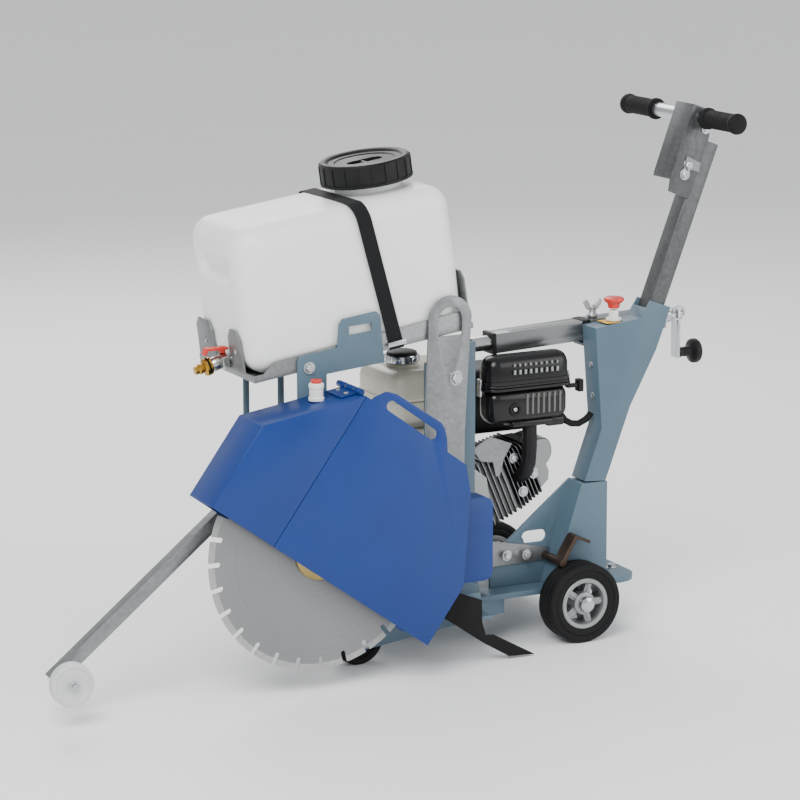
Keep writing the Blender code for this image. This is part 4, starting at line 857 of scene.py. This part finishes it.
def build_air_cleaner():
    x0, x1, y0, y1 = 170.0, 345.0, 80.0, 139.0
    bm = bmesh.new()
    outline = rounded_rect(x0 + 2, x1 - 2, y0 + 1, y1 - 1, 27, 8)
    top = bm.faces.new([bm.verts.new((x, y, 466.6)) for x, y in outline])
    base = bmesh.ops.extrude_face_region(bm, geom=[top])
    top = next(f for f in base["geom"] if isinstance(f, bmesh.types.BMFace))
    bmesh.ops.translate(bm, vec=(0, 0, 6), verts=top.verts)
    steps = ((3.0, 0.4), (0.6, 24.0), (2.2, 7.0), (3.4, 5.4), (4.6, 3.6), (5.2, 1.8), (1.2, -1.6), (2.4, 0),
             (1.2, 1.8))
    for thick, rise in steps:
        bmesh.ops.inset_region(bm, faces=[top], thickness=thick, depth=0.0, use_even_offset=True)
        bmesh.ops.translate(bm, vec=(0, 0, rise), verts=top.verts)
    bmesh.ops.recalc_face_normals(bm, faces=bm.faces)
    piece("filter_lid", bm, black_gloss(), "deck", ["air_cleaner_lid"])
    holes = []
    for i in range(9):
        x = 224 + 10.5 * i
        holes.append(block(x - 2.4, x + 2.4, y0 - 0.2, y0 + 3.6, 484, 492, 0.8, 2))
        holes.append(block(x - 1.6, x + 1.6, y0 + 1.2, y0 + 5.4, 497.5, 502.5, 0.8, 2))
    piece("lid_vents", merge(*holes), cast_aluminium(), "deck")
    bowl = block(x0 + 8, x1 - 10, y0 + 3, y1 - 3, 396, 458, 20, 6)
    flange = extruded([(x, y, 456) for x, y in rounded_rect(x0, x1, y0, y1, 28, 8)], (0, 0, 5))
    lip = extruded([(x, y, 462) for x, y in rounded_rect(x0 + 0.6, x1 - 0.6, y0 + 0.6, y1 - 0.6, 27, 8)],
                   (0, 0, 4))
    sump = merge(block(224, 306, 88, 124, 388.5, 400, 4, 3), block(296, 330, 92, 126, 384, 400, 4, 3))
    piece("filter_body", merge(bowl, flange, lip, sump), black_gloss(), "deck", ["air_cleaner_base"], 0.7)
    bars = []
    for i in range(7):
        x = 250 + 10.8 * i
        bars.append(block(x - 2.2, x + 2.2, y0 + 1.4, y0 + 5, 412, 448, 1.2, 2))
    piece("body_louvres", merge(*bars), surface("grey_louvre", "#4A4A48", "#6B6A66", 0.4, grain=500), "deck")
    sx, sz = 226, 423
    screw = merge(lathe([(7, 0), (11, 0), (12, 2), (11, 4), (7, 4)], (sx, y0 + 4.4, sz), NEAR, 32, True),
                  lathe([(0, 0), (6, 0), (6, 2.4), (0, 3)], (sx, y0 + 4.4, sz), NEAR, 24))
    piece("filter_screw", screw, black_satin(), "deck", (), 0.3)
    piece("screw_head", dome((sx, y0 + 2, sz), NEAR, 3.6, 2.2), nickel(), "deck")
    knob = merge(block(340, 364, 100, 110, 446, 453, 1.5), block(361, 371, 97, 113, 438, 460, 2.0))
    piece("choke_lever", knob, black_satin(), "deck")
    clips = [block(a, b, 104, 116, 446, 476, 1.0) for a, b in ((x0 - 1.6, x0 + 3), (x1 - 3, x1 + 1.6))]
    piece("lid_clips", merge(*clips), bright_steel(), "deck")


def build_fuel_tank():
    x, y = FUEL_CAP
    body = block(17, 167, 130, 280, 394, 495, 24, 6)
    seam = extruded([(a, b, 444) for a, b in rounded_rect(14.5, 169.5, 127.5, 282.5, 26, 8)], (0, 0, 3.0))
    under = block(40, 150, 150, 228, 330.5, 400, 4, 2)
    neck = lathe([(0, 488), (27, 488), (28, 495), (26, 498), (24, 499), (0, 499)], (x, y, 0), UP, 40)
    piece("petrol_tank", merge(body, seam, under, neck), cream_enamel(), "deck", ["fuel_tank"], 0.6)
    skirt = lathe([(0, 499.8), (29, 499.8), (30, 501), (30, 511), (29, 513), (0, 513)], (x, y, 0), UP, 40)
    ribs = [turn(block(x - 1.8, x + 1.8, y + 27, y + 31, 501, 513, 0.8, 2), "Z", math.radians(30 * i),
                 (x, y, 0)) for i in range(12)]
    top = lathe([(0, 513), (27, 513), (26, 518), (22, 519.6), (0, 520)], (x, y, 0), UP, 40)
    piece("petrol_cap", merge(finish_of(merge(skirt, *ribs), 0), finish_of(top, 1)),
          [chrome(), black_satin()], "fuel_cap", ["fuel_cap"])


# ------------------------------------------------------------------ water tank

def smooth_step(a, b, x):
    t = min(1.0, max(0.0, (x - a) / (b - a)))
    return t * t * (3 - 2 * t)


def tank_shell():
    """The tank's box, its faces drawn in at their edges and a filling recess in its front."""
    settings = bpy.context.scene.saw_tank
    pull = settings.bulge
    bm = block(0, TANK_LENGTH, TANK_NEAR, TANK_FAR, 0, TANK_HIGH, settings.corner, 8)
    cuts = [((s, 0, 0), (1, 0, 0)) for s in range(60, 360, 30)]
    cuts += [((0, y, 0), (0, 1, 0)) for y in range(96, 240, 7)]
    cuts += [((0, 0, h), (0, 0, 1)) for h in list(range(50, 140, 22)) + list(range(140, 212, 5))]
    for point, normal in cuts:
        bmesh.ops.bisect_plane(bm, geom=bm.verts[:] + bm.edges[:] + bm.faces[:], dist=0.0001, plane_co=point,
                               plane_no=normal)
    for vert in bm.verts:
        s, y, h = vert.co
        a = 2 * s / TANK_LENGTH - 1
        b = 2 * (y - TANK_NEAR) / (TANK_FAR - TANK_NEAR) - 1
        c = 2 * h / TANK_HIGH - 1
        recess = 15 * smooth_step(104, 112, y) * (1 - smooth_step(216, 224, y))
        recess *= smooth_step(152, 158, h) * (1 - smooth_step(160, 206, h))
        vert.co.x -= a * pull * (abs(b) ** 3 + abs(c) ** 3) / 2
        if s <= 12:
            vert.co.x += recess
        vert.co.y -= b * pull * (abs(a) ** 3 + abs(c) ** 3) / 2
        vert.co.z -= max(0, c) * pull * (abs(a) ** 3 + abs(b) ** 3) / 2
    return bm


def build_tank():
    settings = bpy.context.scene.saw_tank
    x, y = TANK_CAP
    high = TANK_HIGH
    neck = lathe([(50, 238), (58, 240), (60, 247), (56, 249), (56, 283), (50, 283)], (x, y, 0), UP, 48, True)
    piece("tank_shell", tilted(merge(tank_shell(), neck)), tank_plastic(), "deck", ["water_tank"], sharp=50)
    lid = lathe([(0, 47), (50, 47), (52, 48.6), (62, 49), (64, 51.6), (70, 53.6), (74, 53), (77, 49.6),
                 (77, 19), (75.6, 15), (72, 14.2), (0, 14.2)], (x, y, high), UP, 72)
    well = extruded([(a, b, high + 41) for a, b in rounded_rect(x - 32, x + 32, y - 13, y + 13, 12.9, 8)],
                    (0, 0, 14))
    lid = carve(lid, well)
    ribs = [turn(block(x + 75, x + 78.6, y - 1.8, y + 1.8, high + 16, high + 49, 0.9, 2), "Z",
                 2 * math.pi * i / settings.ribs, (x, y, 0)) for i in range(settings.ribs)]
    bridge = block(x - 3, x + 3, y - 13, y + 13, high + 41, high + 45.5, 1.0, 2)
    rim = lathe([(75, 20), (78.3, 19), (78.5, 17), (78, 14.4), (75, 14.2)], (x, y, high), UP, 72, True)
    piece("screw_lid", tilted(merge(lid, bridge, rim, *ribs)), black_satin(), "tank_cap", ["tank_cap"])


def build_strap():
    width, foot, lean = 26.0, 245.0, 33.0
    near, far, low, high = 48.6, 274.4, -5.3, 247.9
    path = []
    for cy, cz, start in ((far - 30, high - 30, 0), (near + 30, high - 30, 90)):
        path += arc(cy, cz, 30, start, start + 90, 10)
    path += arc(near + 3, low + 3, 3, 180, 270, 3) + arc(far - 3, low + 3, 3, 270, 360, 3)
    bm = bmesh.new()
    verts = [bm.verts.new((foot - lean * (h - low) / (high - low), y, h)) for y, h in path]
    edges = [bm.edges.new((a, b)) for a, b in zip(verts, verts[1:] + verts[:1])]
    made = bmesh.ops.extrude_edge_only(bm, edges=edges)
    bmesh.ops.translate(bm, vec=(width, 0, 0), verts=verts_of(made))
    bmesh.ops.recalc_face_normals(bm, faces=bm.faces)
    bmesh.ops.solidify(bm, geom=bm.faces, thickness=1.8)
    piece("tie_down_belt", tilted(bm), webbing(), "deck", ["tank_strap"], 0.3)
    buckle = tilted(block(240, 274, 44.4, 46.6, 1, 9, 0.8, 2))
    piece("belt_buckle", buckle, bright_steel(), "deck")


def build_tray():
    soften("tank_tray", galvanised(), 0.6)
    x, z = tank_point(-4.2, 40)
    front = (-math.cos(TANK_TILT), 0, -math.sin(TANK_TILT))
    heads = [dome((x, y, z), front, 4.5, 2.6) for y in (112, 233)]
    piece("tray_screws", merge(*heads), bright_steel(), "deck")


def build_tap():
    lean = math.radians(14)
    axis = (-math.cos(lean), 0, -math.sin(lean))
    x, z = tank_point(-0.3, 21)

    def along(d):
        return (x + axis[0] * d, 150.0, z + axis[2] * d)

    nut = lathe([(0, 0), (14.5, 0), (14.5, 11), (13, 12), (0, 12)], along(6), axis, 6)
    valve = lathe([(0, 0), (10, 0), (12, 3), (12, 14), (10, 18), (0, 18)], along(17), axis, 28)
    stub = lathe([(0, 0), (9, 0), (9, 7), (0, 7)], along(0), axis, 24)
    piece("valve_body", merge(nut, valve, stub), nickel(), "deck", ["tap_body"], 0.4)
    coupling = lathe([(0, 0), (12, 0), (15, 2), (15, 5), (13.6, 6), (13.6, 8), (15, 9), (15, 12), (12, 14),
                      (8, 15), (8, 18), (9, 19), (9, 22), (7, 24), (7, 30), (0, 31)], along(35), axis, 32)
    piece("hose_coupling", coupling, brass(), "deck")
    seal = lathe([(13.7, 0), (15.4, 0.4), (15.4, 2.2), (13.7, 2.6)], along(41), axis, 32, True)
    piece("coupling_seal", seal, rubber(), "deck")
    soften("tap_lever", red_plastic(), 1.2)


# ------------------------------------------------------------------ stage

def area_light(name, spot, target, size, power):
    data = bpy.data.lights.new(name, "AREA")
    data.shape = "DISK"
    data.size = size
    data.energy = power
    item = bpy.data.objects.new(name, data)
    item.location = spot
    item.rotation_euler = (Vector(target) - Vector(spot)).to_track_quat("-Z", "Y").to_euler()
    bpy.context.scene.collection.objects.link(item)


def build_stage():
    bm = bmesh.new()
    bmesh.ops.create_grid(bm, x_segments=2, y_segments=2, size=14.0)
    mesh = bpy.data.meshes.new("floor")
    bm.to_mesh(mesh)
    bm.free()
    # matt studio paper, almost white
    mesh.materials.append(surface("studio_paper", "#FAFAFA", "#FDFDFD", 0.9, cloud=2, grain=40, depth=0.01))
    floor = bpy.data.objects.new("floor", mesh)
    bpy.context.scene.collection.objects.link(floor)
    world = bpy.data.worlds.new("studio")
    world.use_nodes = True
    world.node_tree.nodes["Background"].inputs["Color"].default_value = (0.97, 0.985, 1.0, 1)
    world.node_tree.nodes["Background"].inputs["Strength"].default_value = 0.8
    bpy.context.scene.world = world
    # place and target in metres, diameter in metres, power in watts
    area_light("key", (-2.2, -2.6, 3.4), (0, 0, 0.45), 2.6, 190)
    area_light("fill", (2.8, -2.8, 1.8), (0, 0, 0.4), 3.0, 70)
    area_light("back", (0.6, 3.0, 2.8), (0, 0, 0.5), 2.6, 80)
    data = bpy.data.cameras.new("camera")
    data.lens = CAMERA_LENS
    data.sensor_width = CAMERA_SENSOR
    camera = bpy.data.objects.new("camera", data)
    level = math.cos(CAMERA_ELEVATION)
    back = Vector((math.sin(CAMERA_AZIMUTH) * level, -math.cos(CAMERA_AZIMUTH) * level,
                   math.sin(CAMERA_ELEVATION)))
    camera.location = ORIGIN + CAMERA_PLACE * MM
    camera.rotation_euler = (-back).to_track_quat("-Z", "Y").to_euler()
    bpy.context.scene.collection.objects.link(camera)
    bpy.context.scene.camera = camera


# ------------------------------------------------------------------ operators and panel

class SAW_OT_chassis(bpy.types.Operator):
    """Base, column, flap and fasteners of the rolling chassis"""
    bl_idname = "saw.chassis"
    bl_label = "Chassis"

    def execute(self, context):
        build_chassis()
        return {"FINISHED"}


class SAW_OT_wheels(bpy.types.Operator):
    """Rear wheels, casters and their axles"""
    bl_idname = "saw.wheels"
    bl_label = "Wheels"

    def execute(self, context):
        build_wheels()
        return {"FINISHED"}


class SAW_OT_controls(bpy.types.Operator):
    """Stop button and the handle's locking pin"""
    bl_idname = "saw.controls"
    bl_label = "Controls"

    def execute(self, context):
        build_controls()
        return {"FINISHED"}


class SAW_OT_handle(bpy.types.Operator):
    """Handle tube, head, bar and grips"""
    bl_idname = "saw.handle"
    bl_label = "Handle"

    def execute(self, context):
        build_handle()
        return {"FINISHED"}


class SAW_OT_spindle(bpy.types.Operator):
    """Depth spindle with its crank, knob, scale and wing screw"""
    bl_idname = "saw.spindle"
    bl_label = "Depth spindle"

    def execute(self, context):
        build_spindle()
        return {"FINISHED"}


class SAW_OT_deck(bpy.types.Operator):
    """Tilting deck with its lifting plate and belt drive"""
    bl_idname = "saw.deck"
    bl_label = "Deck"

    def execute(self, context):
        build_deck()
        return {"FINISHED"}


class SAW_OT_blade(bpy.types.Operator):
    """Diamond blade, flanges and arbor"""
    bl_idname = "saw.blade"
    bl_label = "Blade"

    def execute(self, context):
        build_blade()
        return {"FINISHED"}


class SAW_OT_guard(bpy.types.Operator):
    """Blade guard with its hinged front and water fitting"""
    bl_idname = "saw.guard"
    bl_label = "Blade guard"

    def execute(self, context):
        build_guard()
        return {"FINISHED"}


class SAW_OT_pointer(bpy.types.Operator):
    """Sight arm and its roller"""
    bl_idname = "saw.pointer"
    bl_label = "Sight arm"

    def execute(self, context):
        build_pointer()
        return {"FINISHED"}


class SAW_OT_engine(bpy.types.Operator):
    """Crankcase, finned cylinder, fan housing and muffler"""
    bl_idname = "saw.engine"
    bl_label = "Engine"

    def execute(self, context):
        build_engine()
        return {"FINISHED"}


class SAW_OT_air_cleaner(bpy.types.Operator):
    """Air cleaner with its lid, louvres and clips"""
    bl_idname = "saw.air_cleaner"
    bl_label = "Air cleaner"

    def execute(self, context):
        build_air_cleaner()
        return {"FINISHED"}


class SAW_OT_fuel_tank(bpy.types.Operator):
    """Fuel tank and its cap"""
    bl_idname = "saw.fuel_tank"
    bl_label = "Fuel tank"

    def execute(self, context):
        build_fuel_tank()
        return {"FINISHED"}


class SAW_OT_water_tank(bpy.types.Operator):
    """Water tank and its screw cap"""
    bl_idname = "saw.water_tank"
    bl_label = "Water tank"

    def execute(self, context):
        build_tank()
        return {"FINISHED"}


class SAW_OT_tank_mount(bpy.types.Operator):
    """Tray, tie-down belt and tap of the water tank"""
    bl_idname = "saw.tank_mount"
    bl_label = "Tank mounting"

    def execute(self, context):
        build_tray()
        build_strap()
        build_tap()
        return {"FINISHED"}


class SAW_OT_stage(bpy.types.Operator):
    """Floor, lights and camera"""
    bl_idname = "saw.stage"
    bl_label = "Stage"

    def execute(self, context):
        build_stage()
        return {"FINISHED"}


OPERATORS = (SAW_OT_chassis, SAW_OT_wheels, SAW_OT_controls, SAW_OT_handle, SAW_OT_spindle, SAW_OT_deck,
             SAW_OT_blade, SAW_OT_guard, SAW_OT_pointer, SAW_OT_engine, SAW_OT_air_cleaner,
             SAW_OT_fuel_tank, SAW_OT_water_tank, SAW_OT_tank_mount, SAW_OT_stage)


class SAW_PT_panel(bpy.types.Panel):
    """Lists the saw's settings and builders"""
    bl_idname = "SAW_PT_panel"
    bl_label = "Concrete saw"
    bl_space_type = "VIEW_3D"
    bl_region_type = "UI"
    bl_category = "Saw"

    def draw(self, context):
        for group in (context.scene.saw_tank, context.scene.saw_paint, context.scene.saw_blade):
            for name in group.bl_rna.properties.keys():
                if name not in ("rna_type", "name"):
                    self.layout.prop(group, name)
        for operator in OPERATORS:
            self.layout.operator(operator.bl_idname)


CLASSES = (SawTankSettings, SawPaintSettings, SawBladeSettings, *OPERATORS, SAW_PT_panel)


def register():
    for item in CLASSES:
        bpy.utils.register_class(item)
    bpy.types.Scene.saw_tank = PointerProperty(type=SawTankSettings)
    bpy.types.Scene.saw_paint = PointerProperty(type=SawPaintSettings)
    bpy.types.Scene.saw_blade = PointerProperty(type=SawBladeSettings)


def unregister():
    for name in ("saw_tank", "saw_paint", "saw_blade"):
        delattr(bpy.types.Scene, name)
    for item in reversed(CLASSES):
        bpy.utils.unregister_class(item)


def main():
    register()
    for operator in OPERATORS:
        group, name = operator.bl_idname.split(".")
        getattr(getattr(bpy.ops, group), name)()


if __name__ == "__main__":
    main()
